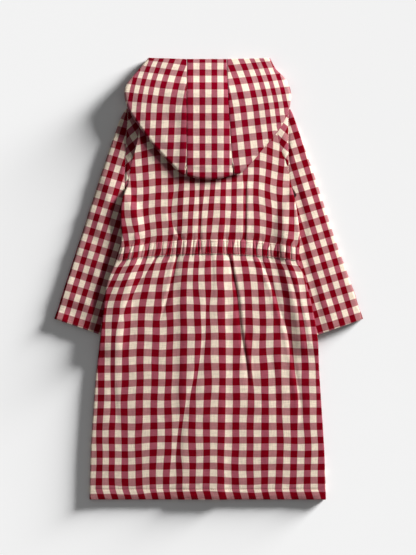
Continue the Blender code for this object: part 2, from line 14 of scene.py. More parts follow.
import bpy
import numpy as np
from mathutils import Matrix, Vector


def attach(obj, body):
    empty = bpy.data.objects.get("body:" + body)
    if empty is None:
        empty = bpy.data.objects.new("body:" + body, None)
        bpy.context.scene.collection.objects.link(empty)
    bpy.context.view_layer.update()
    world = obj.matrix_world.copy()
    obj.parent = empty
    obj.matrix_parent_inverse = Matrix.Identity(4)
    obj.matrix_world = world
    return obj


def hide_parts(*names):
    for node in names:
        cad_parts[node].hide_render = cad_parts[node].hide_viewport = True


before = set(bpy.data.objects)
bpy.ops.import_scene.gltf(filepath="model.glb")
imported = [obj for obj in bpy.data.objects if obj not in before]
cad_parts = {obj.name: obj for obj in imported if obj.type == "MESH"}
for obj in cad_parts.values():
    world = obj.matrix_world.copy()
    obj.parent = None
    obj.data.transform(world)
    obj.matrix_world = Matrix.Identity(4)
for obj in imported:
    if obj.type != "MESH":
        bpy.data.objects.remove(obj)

log = logging.getLogger("dressing_gown")

MM = 0.001
ROOT = "root"

CLOTH = 3.0  # wall of body and sleeves, thin wadding and lining included
HOOD_CLOTH = 5.0
TUNNEL_CLOTH = 1.2
SEAM = 0.3  # gap between two pieces that are sewn together
AIR = 0.9  # gap between two layers that lie on each other
BEND = 2.1  # radius of the cloth's middle at a rolled side
RISE = 1.1  # how far the side seam lies from the end of the roll
LAYER = CLOTH + 1.6  # from the middle of the fronts to the middle of the back
ROLLED = 2 * (BEND + RISE)
SHOULDER_RISE = 0.6
SHOULDER_BEND = LAYER / 2 - SHOULDER_RISE
UNDERARM_EASE = 0.5

Array = np.ndarray


class Side(Enum):
    """The wearer's left or right, which is also the left or right of the picture."""

    LEFT = -1
    RIGHT = 1


# --------------------------------------------------------------------------------- small mathematics
def eased(t: Array | float) -> Array:
    """Soft step.

    Args:
        t: where the step is looked at.

    Returns:
        0 below 0, 1 above 1 and a soft rise between.
    """
    t = np.clip(t, 0.0, 1.0)
    return t * t * (3 - 2 * t)


def ramp(value: Array | float, start: float | Array, end: float | Array) -> Array:
    """Soft step that is 0 at start and 1 at end, whichever is larger."""
    return eased((value - start) / (end - start))


def bell(distance: Array | float, width: float | Array) -> Array:
    """1 in the middle, dying away softly over the width."""
    return np.exp(-((distance / width) ** 2))


class SmoothCurve:
    """A curve through (place, value) points, with a smooth slope at each."""

    def __init__(self, points: Sequence[tuple[float, float]]) -> None:
        """Keeps the points in order of place.

        Args:
            points: (place, value) pairs in any order.
        """
        points = sorted(points)
        self.at = np.array([p[0] for p in points], float)
        self.value = np.array([p[1] for p in points], float)
        self.slope = np.gradient(self.value, self.at)

    def __call__(self, x: Array | float) -> Array:
        """The value at each place; level beyond the ends.

        Args:
            x: places where the curve is looked at.

        Returns:
            the values.
        """
        x = np.clip(np.asarray(x, float), self.at[0], self.at[-1])
        i = np.clip(np.searchsorted(self.at, x, side="right") - 1, 0, len(self.at) - 2)
        step = self.at[i + 1] - self.at[i]
        t = (x - self.at[i]) / step
        a, b = self.value[i], self.value[i + 1]
        return (a * (1 + 2 * t) * (1 - t) ** 2 + self.slope[i] * step * t * (1 - t) ** 2
                + b * t * t * (3 - 2 * t) + self.slope[i + 1] * step * t * t * (t - 1))


@dataclass(frozen=True)
class Unevenness:
    """Shallow waves of handling in the cloth, the same at each run."""

    seed: int
    height: float
    shortest: float
    longest: float
    waves: int = 26

    def __call__(self, x: Array, y: Array) -> Array:
        """Height of the waves at each place, in millimetres.

        Args:
            x: places across the gown.
            y: places along the gown.

        Returns:
            the waves' height.
        """
        draw = np.random.default_rng(self.seed)
        total = np.zeros(np.broadcast(x, y).shape)
        for _ in range(self.waves):
            heading = draw.uniform(0, 2 * math.pi)
            length = draw.uniform(self.shortest, self.longest)
            phase = draw.uniform(0, 2 * math.pi)
            along = x * math.cos(heading) + y * math.sin(heading)
            total = total + np.sin(2 * math.pi * along / length + phase)
        return total * self.height / math.sqrt(self.waves / 2)


def stations(*stretches: tuple[float, float, float]) -> Array:
    """Places along a line, from (start, end, step) stretches that follow each other.

    Args:
        stretches: each with its step, the first one's start being the first place.

    Returns:
        the places.
    """
    places = [stretches[0][0]]
    for start, end, step in stretches:
        count = max(1, round(abs(end - start) / step))
        places.extend(np.linspace(start, end, count + 1)[1:])
    return np.array(places)


# ------------------------------------------------------------------------------------------ finishes
class Nodes:
    """A new material, with short ways to add and join its shader nodes."""

    def __init__(self, name: str) -> None:
        """Starts a material of that name.

        Args:
            name: the material's name.
        """
        self.material = bpy.data.materials.new(name)
        self.material.use_nodes = True
        self.tree = self.material.node_tree
        self.shader = self.tree.nodes["Principled BSDF"]

    def add(self, kind: str, **settings: object) -> bpy.types.Node:
        """Adds a node and sets its properties by name.

        Args:
            kind: Blender's name of the node.
            settings: the node's properties.

        Returns:
            the node.
        """
        node = self.tree.nodes.new(kind)
        for name, value in settings.items():
            setattr(node, name, value)
        return node

    def feed(self, target: bpy.types.NodeSocket, value: object) -> None:
        """Joins another socket to this one, or sets it where the value is a number, a place or a colour.

        Args:
            target: the socket that is fed.
            value: a socket, a number, a place or a colour.
        """
        if isinstance(value, bpy.types.NodeSocket):
            self.tree.links.new(value, target)
        elif value is not None:
            target.default_value = value

    def maths(self, operation: str, first: object, second: object = None,
              clamp: bool = False) -> bpy.types.NodeSocket:
        """A Math node.

        Args:
            operation: Blender's name of the operation.
            first: a socket or a number.
            second: a socket or a number, where the operation takes two.
            clamp: keeps the result from 0 to 1.

        Returns:
            the node's output.
        """
        node = self.add("ShaderNodeMath", operation=operation, use_clamp=clamp)
        self.feed(node.inputs[0], first)
        self.feed(node.inputs[1], second)
        return node.outputs[0]

    def vector(self, operation: str, first: object, second: object) -> bpy.types.NodeSocket:
        """A Vector Math node.

        Args:
            operation: Blender's name of the operation.
            first: a socket or a vector.
            second: the other vector, or the scale where the operation is SCALE.

        Returns:
            the vector, or the distance where the operation is DISTANCE.
        """
        node = self.add("ShaderNodeVectorMath", operation=operation)
        self.feed(node.inputs[0], first)
        self.feed(node.inputs["Scale"] if operation == "SCALE" else node.inputs[1], second)
        return node.outputs["Value" if operation == "DISTANCE" else "Vector"]

    def mixed(self, share: object, first: object, second: object) -> bpy.types.NodeSocket:
        """A colour Mix node of two sockets or colours.

        Args:
            share: share of the second colour.
            first: a socket or a colour.
            second: a socket or a colour.

        Returns:
            the node's output.
        """
        node = self.add("ShaderNodeMix", data_type="RGBA")
        for socket, value in zip((node.inputs["Factor"], *node.inputs[6:8]), (share, first, second)):
            self.feed(socket, value)
        return node.outputs[2]

    def noise(self, place: bpy.types.NodeSocket, scale: float, detail: float = 2.0) -> bpy.types.Node:
        """A Noise Texture node at a place.

        Args:
            place: socket of the place.
            scale: how often the noise changes.
            detail: how many finer noises are laid on it.

        Returns:
            the node.
        """
        node = self.add("ShaderNodeTexNoise")
        node.inputs["Scale"].default_value = scale
        node.inputs["Detail"].default_value = detail
        self.feed(node.inputs["Vector"], place)
        return node


@dataclass(frozen=True)
class Gingham:
    """Woven check of two colours of yarn, with the two blends where they cross."""

    name: str
    crimson: tuple[float, float, float, float] = (0.180, 0.0001, 0.0060, 1.0)
    cream: tuple[float, float, float, float] = (0.84, 0.70, 0.555, 1.0)
    mauve: tuple[float, float, float, float] = (0.355, 0.080, 0.112, 1.0)  # crimson column, cream row
    dusty: tuple[float, float, float, float] = (0.42, 0.172, 0.178, 1.0)  # cream column, crimson row
    edge: float = 24.0  # sharpness of the edge between two bands of yarn
    threads: float = 26.0  # threads in one repeat of the check
    slub: tuple[float, float] = (1.6, 14.0)  # how often a yarn's thickness changes along and across it
    waver: float = 0.02  # how far the threads stray, in repeats
    mean_shade: float = 0.49
    weave_shade: float = 0.10
    uneven_shade: float = 0.22
    slub_shade: float = 0.40
    uneven_relief: float = 1.6
    bump: tuple[float, float] = (0.5, 0.0005)  # strength, and height in metres
    roughness: float = 0.88
    sheen: float = 0.01

    def band(self, nodes: Nodes, place: bpy.types.NodeSocket) -> bpy.types.NodeSocket:
        """1 in the crimson half of each repeat and 0 in the cream half.

        Args:
            nodes: the material's nodes.
            place: socket of the place, in repeats.

        Returns:
            the node's output.
        """
        within = nodes.maths("FRACT", place)
        off_centre = nodes.maths("ABSOLUTE", nodes.maths("SUBTRACT", within, 0.5))
        inside = nodes.maths("SUBTRACT", 0.25, off_centre)
        return nodes.maths("ADD", nodes.maths("MULTIPLY", inside, self.edge), 0.5, clamp=True)

    def yarn(self, nodes: Nodes, place: bpy.types.NodeSocket) -> bpy.types.NodeSocket:
        """A wave with one crest for each thread."""
        return nodes.maths("SINE", nodes.maths("MULTIPLY", place, 2 * math.pi * self.threads))

    def streaks(self, nodes: Nodes, uv: bpy.types.NodeSocket,
                stretch: tuple[float, float]) -> bpy.types.NodeSocket:
        """Uneven thickness of the yarns that run one way."""
        return nodes.noise(nodes.vector("MULTIPLY", uv, (*stretch, 1.0)), 1.0, 1.0).outputs["Fac"]

    def yarns(self, nodes: Nodes, across: bpy.types.NodeSocket,
              along: bpy.types.NodeSocket) -> bpy.types.NodeSocket:
        """The four colours of the check.

        Args:
            nodes: the material's nodes.
            across: socket of the place across the cloth.
            along: socket of the place along the cloth.

        Returns:
            the colour's socket.
        """
        column = self.band(nodes, across)
        row = self.band(nodes, along)
        light_column = nodes.mixed(row, self.cream, self.dusty)
        dark_column = nodes.mixed(row, self.mauve, self.crimson)
        return nodes.mixed(column, light_column, dark_column)

    def material(self) -> bpy.types.Material:
        """Builds the node material on the piece's own map.

        Returns:
            the material.
        """
        nodes = Nodes(self.name)
        uv = nodes.add("ShaderNodeUVMap", uv_map="Cloth").outputs["UV"]
        stray = nodes.vector("SCALE", nodes.noise(uv, 3.0).outputs["Color"], self.waver)
        split = nodes.add("ShaderNodeSeparateXYZ")
        nodes.feed(split.inputs[0], nodes.vector("ADD", uv, stray))
        across, along = split.outputs["X"], split.outputs["Y"]
        cloth = self.yarns(nodes, across, along)

        weave = nodes.maths("MULTIPLY", self.yarn(nodes, across), self.yarn(nodes, along))
        uneven = nodes.noise(uv, 22.0, 3.0).outputs["Fac"]
        shade = nodes.maths("ADD", nodes.maths("MULTIPLY", weave, self.weave_shade),
                            nodes.maths("MULTIPLY", uneven, self.uneven_shade))
        for stretch in (self.slub, self.slub[::-1]):
            streak = nodes.maths("MULTIPLY", self.streaks(nodes, uv, stretch), self.slub_shade)
            shade = nodes.maths("ADD", shade, streak)
        tone = nodes.maths("ADD", shade, self.mean_shade)
        nodes.feed(nodes.shader.inputs["Base Color"], nodes.vector("SCALE", cloth, tone))

        bump = nodes.add("ShaderNodeBump")
        bump.inputs["Strength"].default_value, bump.inputs["Distance"].default_value = self.bump
        relief = nodes.maths("ADD", weave, nodes.maths("MULTIPLY", uneven, self.uneven_relief))
        nodes.feed(bump.inputs["Height"], relief)
        nodes.feed(nodes.shader.inputs["Normal"], bump.outputs["Normal"])
        nodes.shader.inputs["Roughness"].default_value = self.roughness
        nodes.shader.inputs["Sheen Weight"].default_value = self.sheen
        nodes.shader.inputs["Sheen Roughness"].default_value = 0.5
        nodes.shader.inputs["Specular IOR Level"].default_value = 0.01
        return nodes.material


@dataclass(frozen=True)
class Thread:
    """Spun sewing thread."""

    name: str = "sewing_thread"
    colour: tuple[float, float, float, float] = (0.28, 0.01, 0.03, 1.0)
    roughness: float = 0.6

    def material(self) -> bpy.types.Material:
        """Builds the thread with a fine twist.

        Returns:
            the material.
        """
        nodes = Nodes(self.name)
        place = nodes.add("ShaderNodeTexCoord").outputs["Object"]
        twist = nodes.noise(place, 900.0).outputs["Fac"]
        light = tuple(min(1.0, c * 1.6) for c in self.colour[:3]) + (1.0,)
        nodes.feed(nodes.shader.inputs["Base Color"], nodes.mixed(twist, self.colour, light))
        nodes.shader.inputs["Roughness"].default_value = self.roughness
        return nodes.material


FLOOR_KEY = (5.7, 3.9, 0.72)  # low, so that the gown throws a broad soft shadow


@dataclass(frozen=True)
class StudioFloor:
    """Pale matt paper under the gown, with painted light: its colour is lightened away from the floor key so
    that it looks even although the light falls off.
    """

    name: str = "studio_floor"
    colour: tuple[float, float, float, float] = (0.90, 0.90, 0.90, 1.0)
    fall_off: float = 3.0  # power of the distance by which the key light weakens on level paper
    ambient: float = 0.15  # share of the light that doesn't weaken
    brightest: float = 1.7  # most that the paper is lightened far from the light

    def material(self) -> bpy.types.Material:
        """Builds the paper with a faint mottle, and with painted light that makes it lighter with distance
        from the floor key.

        Returns:
            the material.
        """
        nodes = Nodes(self.name)
        place = nodes.add("ShaderNodeTexCoord").outputs["Object"]
        paler = tuple(c * 1.01 for c in self.colour[:3]) + (1.0,)
        # painted light: the paper's colour is raised where the floor key's light is weaker, to cancel its
        # fall-off
        away = nodes.vector("DISTANCE", place, FLOOR_KEY)
        near = nodes.maths("DIVIDE", math.dist(FLOOR_KEY, (0, 0, 0)), away)
        lit = nodes.maths("MULTIPLY", nodes.maths("POWER", near, self.fall_off), 1 - self.ambient)
        even = nodes.maths("DIVIDE", 1.0, nodes.maths("ADD", lit, self.ambient))
        paper = nodes.mixed(nodes.noise(place, 4.0).outputs["Fac"], self.colour, paler)
        toned = nodes.vector("SCALE", paper, nodes.maths("MINIMUM", even, self.brightest))
        nodes.feed(nodes.shader.inputs["Base Color"], toned)
        nodes.shader.inputs["Roughness"].default_value = 0.9
        nodes.shader.inputs["Specular IOR Level"].default_value = 0.1
        return nodes.material


# ------------------------------------------------------------------------------ making a cloth piece
class Edges(Enum):
    """Which edges of a piece's grid are cut edges that are rounded."""

    ALL = "all"
    ENDS = "ends"  # of a tube, whose sides are joined


EDGE_SHARES = (0.0, 0.13, 0.45, 0.85)  # places of the lines that round a cut edge, in half walls


def rounded_ends(points: Array, checks: Array, weight: Array, radius: float,
                 blunt: float) -> tuple[Array, Array, Array]:
    """Adds lines beside the first and last row of a grid, where the wall thins to a round edge.

    Args:
        points: rows by columns of middle points, in millimetres.
        checks: the same grid's places on the gingham.
        weight: the same grid's share of the wall's thickness.
        radius: half the wall.
        blunt: share of the wall that is left at the very edge.

    Returns:
        the three grids with their new rows.
    """
    for _ in range(2):
        points, checks, weight = points[::-1], checks[::-1], weight[::-1]
        spacing = np.linalg.norm(points[1] - points[0], axis=-1).mean()
        reach = min(1.0, radius / spacing)
        new = [[], [], []]
        for share in EDGE_SHARES:
            t = share * reach
            thickness = max(blunt, math.sqrt(1 - (1 - share) ** 2))
            for grids, grid in zip(new, (points, checks)):
                grids.append(grid[0] * (1 - t) + grid[1] * t)
            new[2].append(np.minimum(weight[0], thickness))
        points, checks, weight = (np.concatenate([np.array(lines), grid[1:]])
                                  for lines, grid in zip(new, (points, checks, weight)))
    return points, checks, weight


def laid_grid(name: str, points: Array, checks: Array) -> tuple[bpy.types.Object, Array, Array]:
    """Lays a grid through the points.

    Args:
        name: the piece's name.
        points: rows by columns of points, in millimetres.
        checks: the same grid's places on the gingham.

    Returns:
        the object, and the row and column of each of its vertices.
    """
    rows, columns = points.shape[:2]
    bpy.ops.object.select_all(action="DESELECT")
    bpy.ops.mesh.primitive_grid_add(x_subdivisions=columns - 1, y_subdivisions=rows - 1, size=2.0)
    piece = bpy.context.object
    piece.name = piece.data.name = name
    mesh = piece.data
    place = np.empty(len(mesh.vertices) * 3)
    mesh.vertices.foreach_get("co", place)
    place = place.reshape(-1, 3)
    column = np.rint((place[:, 0] + 1) / 2 * (columns - 1)).astype(int)
    row = np.rint((place[:, 1] + 1) / 2 * (rows - 1)).astype(int)
    mesh.vertices.foreach_set("co", (points[row, column] * MM).ravel())
    corner = np.empty(len(mesh.loops), int)
    mesh.loops.foreach_get("vertex_index", corner)
    uv_map = mesh.uv_layers[0]
    uv_map.name = "Cloth"
    uv_map.data.foreach_set("uv", checks[row[corner], column[corner]].ravel())
    mesh.update()
    return piece, row, column


def joined_sides() -> None:
    """Joins the first and last column of the active tube."""
    bpy.ops.object.mode_set(mode="EDIT")
    bpy.ops.mesh.select_all(action="SELECT")
    bpy.ops.mesh.remove_doubles(threshold=0.01 * MM)
    bpy.ops.object.mode_set(mode="OBJECT")


def cloth_piece(name: str, points: Array, checks: Array, wall: float, edges: Edges,
                blunt: tuple[float, float] = (0.16, 0.16)) -> bpy.types.Object:
    """Makes one piece of cloth with its thickness and rounded edges.

    Args:
        name: the piece's name.
        points: rows by columns of middle points, in millimetres.
        checks: rows by columns of places on the gingham, in repeats.
        wall: thickness in millimetres.
        edges: which edges are rounded.
        blunt: share of the wall that is left at the very edge of the end rows, and of the sides.

    Returns:
        the finished object.
    """
    weight = np.ones(points.shape[:2])
    points, checks, weight = rounded_ends(points, checks, weight, wall / 2, blunt[0])
    if edges is Edges.ALL:
        turned = (points.swapaxes(0, 1), checks.swapaxes(0, 1), weight.T)
        points, checks, weight = rounded_ends(*turned, wall / 2, blunt[1])
        points, checks, weight = points.swapaxes(0, 1), checks.swapaxes(0, 1), weight.T
    piece, row, column = laid_grid(name, points, checks)
    group = piece.vertex_groups.new(name="wall")
    thinned = weight[row, column]
    for value in np.unique(thinned):
        group.add(np.nonzero(thinned == value)[0].tolist(), float(value), "REPLACE")
    if edges is Edges.ENDS:
        joined_sides()
    thicken = piece.modifiers.new("Wall", "SOLIDIFY")
    thicken.thickness = wall * MM
    thicken.offset = 0.0
    thicken.vertex_group = "wall"
    bpy.ops.object.modifier_apply(modifier=thicken.name)
    bpy.ops.object.shade_smooth_by_angle(angle=math.radians(60))
    piece.vertex_groups.clear()
    return piece


def dressed(piece: bpy.types.Object, finish: bpy.types.Material, node: str) -> None:
    """Gives a finished piece its cloth and its body, and hides the CAD node that it replaces.

    Args:
        piece: the finished object.
        finish: the cloth's material.
        node: name of the CAD node that it replaces.
    """
    piece.data.materials.append(finish)
    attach(piece, ROOT)
    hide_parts(node)


# ----------------------------------------------------------------------------------- the gown's form
class Section(NamedTuple):
    """Where the body's sides lie at a height."""

    y: float
    left: float
    right: float


class Ring(NamedTuple):
    """A ring of a sleeve, from the outer fold to the inner fold."""

    outer_x: float
    outer_y: float
    inner_x: float
    inner_y: float
    bow: float  # share of the armhole's curve that the ring keeps
    height: float  # middle of the upper layer


BODY = (
    Section(355, -143.5, 142.5),
    Section(325, -140.5, 138.5),
    Section(297, -139.5, 136.5),
    Section(267, -145.0, 142.5),
    Section(227, -156.0, 156.5),
    Section(193, -161.5, 164.0),
    Section(157, -173.5, 172.5),
    Section(123, -176.5, 178.5),
    Section(90, -174.5, 182.5),
    Section(77, -176.5, 182.0),
    Section(49, -185.0, 180.5),
    Section(10, -201.0, 193.0),
    Section(-60, -211.5, 209.5),
    Section(-113, -217.5, 218.0),
    Section(-183, -225.5, 221.5),
    Section(-263, -231.5, 226.5),
    Section(-343, -236.5, 231.5),
    Section(-443, -239.0, 235.0),
)
SHOULDER_Y, UNDERARM_Y, HEM_Y = BODY[0].y, BODY[5].y, BODY[-1].y
BELOW_UNDERARM = UNDERARM_Y - 4.0  # first row whose sides roll to the side seam
TUNNEL_TOP, TUNNEL_BOTTOM = BODY[9].y, BODY[10].y
WAIST_Y = (TUNNEL_TOP + TUNNEL_BOTTOM) / 2

LEFT_RINGS = (
    Ring(-149, 354, -165, 188, 0.95, 8.2),
    Ring(-158, 348, -165, 185, 0.85, 8.4),
    Ring(-168, 336, -166.5, 181, 0.55, 6.4),
    Ring(-177, 319, -168.5, 177, 0.35, 8.0),
    Ring(-190, 283, -171.5, 172, 0.15, 8.4),
    Ring(-204, 243, -173, 164, 0.0, 8.3),
    Ring(-218, 203, -166, 153, 0.0, 8.2),
    Ring(-232, 160, -157, 135, 0.0, 8.0),
    Ring(-247, 113, -152, 97, 0.0, 8.0),
    Ring(-264, 60, -157, 42, 0.0, 7.9),
    Ring(-283, 2, -170, -22, 0.0, 7.8),
    Ring(-300, -52, -184, -82, 0.0, 7.6),
    Ring(-309.5, -81, -192, -121.5, 0.0, 7.2),
)
# how much nearer the middle the right sleeve's outer fold lies, ring by ring
NEARER = (1, 1, 3, 5, 6, 6, 5, 5, 5, 4, 2, 0.5, 0)
HEAD_RINGS = 5


def right_ring(number: int, ring: Ring) -> Ring:
    """A ring of the right sleeve, from the left sleeve's ring."""
    further = 1.0 if number < HEAD_RINGS else 2.0
    return ring._replace(outer_x=-ring.outer_x - NEARER[number], inner_x=-ring.inner_x + further)


RINGS = {
    Side.LEFT: LEFT_RINGS,
    Side.RIGHT: tuple(right_ring(number, ring) for number, ring in enumerate(LEFT_RINGS)),
}
HEAD_GROOVE = {
    Side.LEFT: ((345, 162), (257, 167.5), (205, 169), (170, 169.5)),
    Side.RIGHT: ((345, 160), (257, 160.5), (201, 162), (170, 166)),
}
COVERED_TOP = 6.0  # middle of a sleeve's upper layer where the body lies over it
COVER_RISE = 14.0  # distance over which the sleeve rises from beneath the body
COVER_Y = (192.0, 158.0, -122.0, -158.0)  # where the body comes over the sleeves and where it leaves them


class Crease(NamedTuple):
    """A fold line of the back, with its trough and the cloth that it hides."""

    line: tuple[tuple[float, float], ...]  # (y, x) from top to bottom
    width: float  # reach of the trough to each side
    depth: float
    hides: float  # cloth taken up, as length across
    ridge: float  # height of the lip beside the trough
    ridge_side: int  # -1 for a lip on the left and 1 for one on the right
    fade_in: float
    fade_out: float


CREASES = (
    # bodice
    Crease(((187, -67.5), (111, -74.3), (77, -53.5)), 5, 1.6, 5, 0.6, -1, 20, 4),
    Crease(((205, -20), (147, -18.5), (77, -17)), 4, 1.5, 5, 0.5, 1, 50, 4),
    Crease(((205, 74.5), (150, 74.5), (77, 72)), 3.5, 2.4, 5, 0.8, 1, 20, 4),
    Crease(((112, -147), (96, -142), (77, -133)), 4, 1.8, 4, 0.6, -1, 16, 3),
    Crease(((150, 30), (110, 34), (77, 33)), 5, 1.0, 4, 0.4, 1, 30, 4),
    Crease(((175, 137), (143, 139), (77, 146)), 6, 0.8, 4, 0.6, 1, 30, 4),
    Crease(((190, 164), (140, 170), (84, 176)), 4, 1.2, 3, 1.3, 1, 18, 6),
    # skirt
    Crease(((49, -103.5), (15.8, -128.3), (-19, -151.5), (-45, -166.5), (-95, -186)),
           4.5, 2.6, 6, 0.8, -1, 4, 40),
    Crease(((49, -63), (37, -65.5), (-35, -83.5), (-95, -104)), 4, 3.6, 6, 0.9, -1, 4, 40),
    Crease(((49, 40.5), (-35, 58.5), (-105, 66), (-173, 77.5), (-243, 83)), 4, 3.6, 8, 1.2, 1, 4, 70),
    Crease(((49, 99), (-27, 132.5), (-59, 142.5), (-99, 156.5), (-173, 170.5), (-270, 184), (-330, 178)),
           5, 2.4, 6, 1.4, -1, 10, 90),
    Crease(((-20, -2), (-73, -5.5), (-173, -18.7), (-255, -45.5), (-321, -61.5), (-400, -72)),
           9, 2.0, 10, 0.4, -1, 40, 60),
    Crease(((-80, -189), (-109, -191.5), (-189, -194.5), (-255, -186), (-330, -182)),
           8, 1.6, 6, 0.5, 1, 30, 90),
    Crease(((49, 5), (10, 8), (-50, 6)), 5, 1.2, 4, 0.4, 1, 4, 50),
    Crease(((49, 150), (0, 168), (-60, 186), (-160, 203)), 5, 1.6, 5, 0.8, 1, 4, 60),
    Crease(((-120, 120), (-220, 136), (-330, 138)), 9, 1.5, 4, 0.4, 1, 50, 80),
)

SWELL = ((360, 0.0), (196, 0.0), (165, 2.4), (120, 3.6), (90, 3.0), (77, 1.5), (49, 1.9), (28, 3.8),
         (-30, 4.2), (-160, 3.6), (-300, 2.6), (-420, 1.6), (-443, 1.2))

ROWS_OF_CHECK = ((437, -8.7), (170.5, 0.5), (113.5, 2.5), (56.5, 4.5), (0.5, 6.5), (-59, 8.5), (-117, 10.5),
                 (-177, 12.5), (-207.5, 13.5), (-265.5, 15.5), (-295, 16.5), (-349, 18.5), (-403.5, 20.5),
                 (-435, 21.5), (-460, 22.3))


class AcrossBack(NamedTuple):
    """Five values across the back at a height, from the left side to the right one."""

    y: float
    values: tuple[float, float, float, float, float]


def curves_down(table: Sequence[AcrossBack]) -> tuple[SmoothCurve, ...]:
    """A curve down the back for each of a table's five values."""
    return tuple(SmoothCurve([(row.y, row.values[k]) for row in table]) for k in range(5))


HANG_X = (-155.0, -90.0, 0.0, 90.0, 155.0)
# how far the rows of the check hang below a level line at these places
ROW_HANG = (
    AcrossBack(190, (12, 4.5, 0, -1.5, 11)),
    AcrossBack(145, (12, 4, 0, -1, 11)),
    AcrossBack(113, (11, 4, 0, -2, 8.5)),
    AcrossBack(89, (7.5, 2.5, 0, -2, 5)),
    AcrossBack(57, (0, 0, 0, 0, 0)),
    AcrossBack(21, (0, 1.5, 0, -3, -5)),
    AcrossBack(-19, (-2, 1.5, 0, -2, -7)),
    AcrossBack(-99, (-3, 0, 0, -2.5, -7)),
    AcrossBack(-179, (0, 1, 0, -1, -4)),
    AcrossBack(-259, (1, -0.5, 0, 0, 0)),
    AcrossBack(-339, (3, -0.5, 0, 3, 2)),
    AcrossBack(-430, (5, 0.5, 0, 2, 1)),
)


# x of five crimson columns of the back, four repeats apart
COLUMNS_OF_CHECK = (
    AcrossBack(355, (-188, -88, 10, 105, 200)),
    AcrossBack(177, (-175, -75, 7.5, 95, 191)),
    AcrossBack(133, (-174, -77, 4, 96.5, 188)),
    AcrossBack(85, (-166, -77, 0, 95.5, 186)),
    AcrossBack(55, (-167, -81, -3, 92, 178)),
    AcrossBack(27, (-181, -90, -3, 99, 190)),
    AcrossBack(-43, (-208, -102, -0.5, 106, 204)),
    AcrossBack(-103, (-214, -104, 2, 108, 213)),
    AcrossBack(-163, (-216, -106, 1.5, 108.5, 218)),
    AcrossBack(-223, (-216, -108, -1, 111.5, 221)),
    AcrossBack(-399, (-219, -111.5, -5.5, 112, 225)),
    AcrossBack(-443, (-219, -112, -5.5, 112, 226)),
)
COLUMNS_APART = 4
REPEAT = 29.4  # one repeat of the check, in millimetres


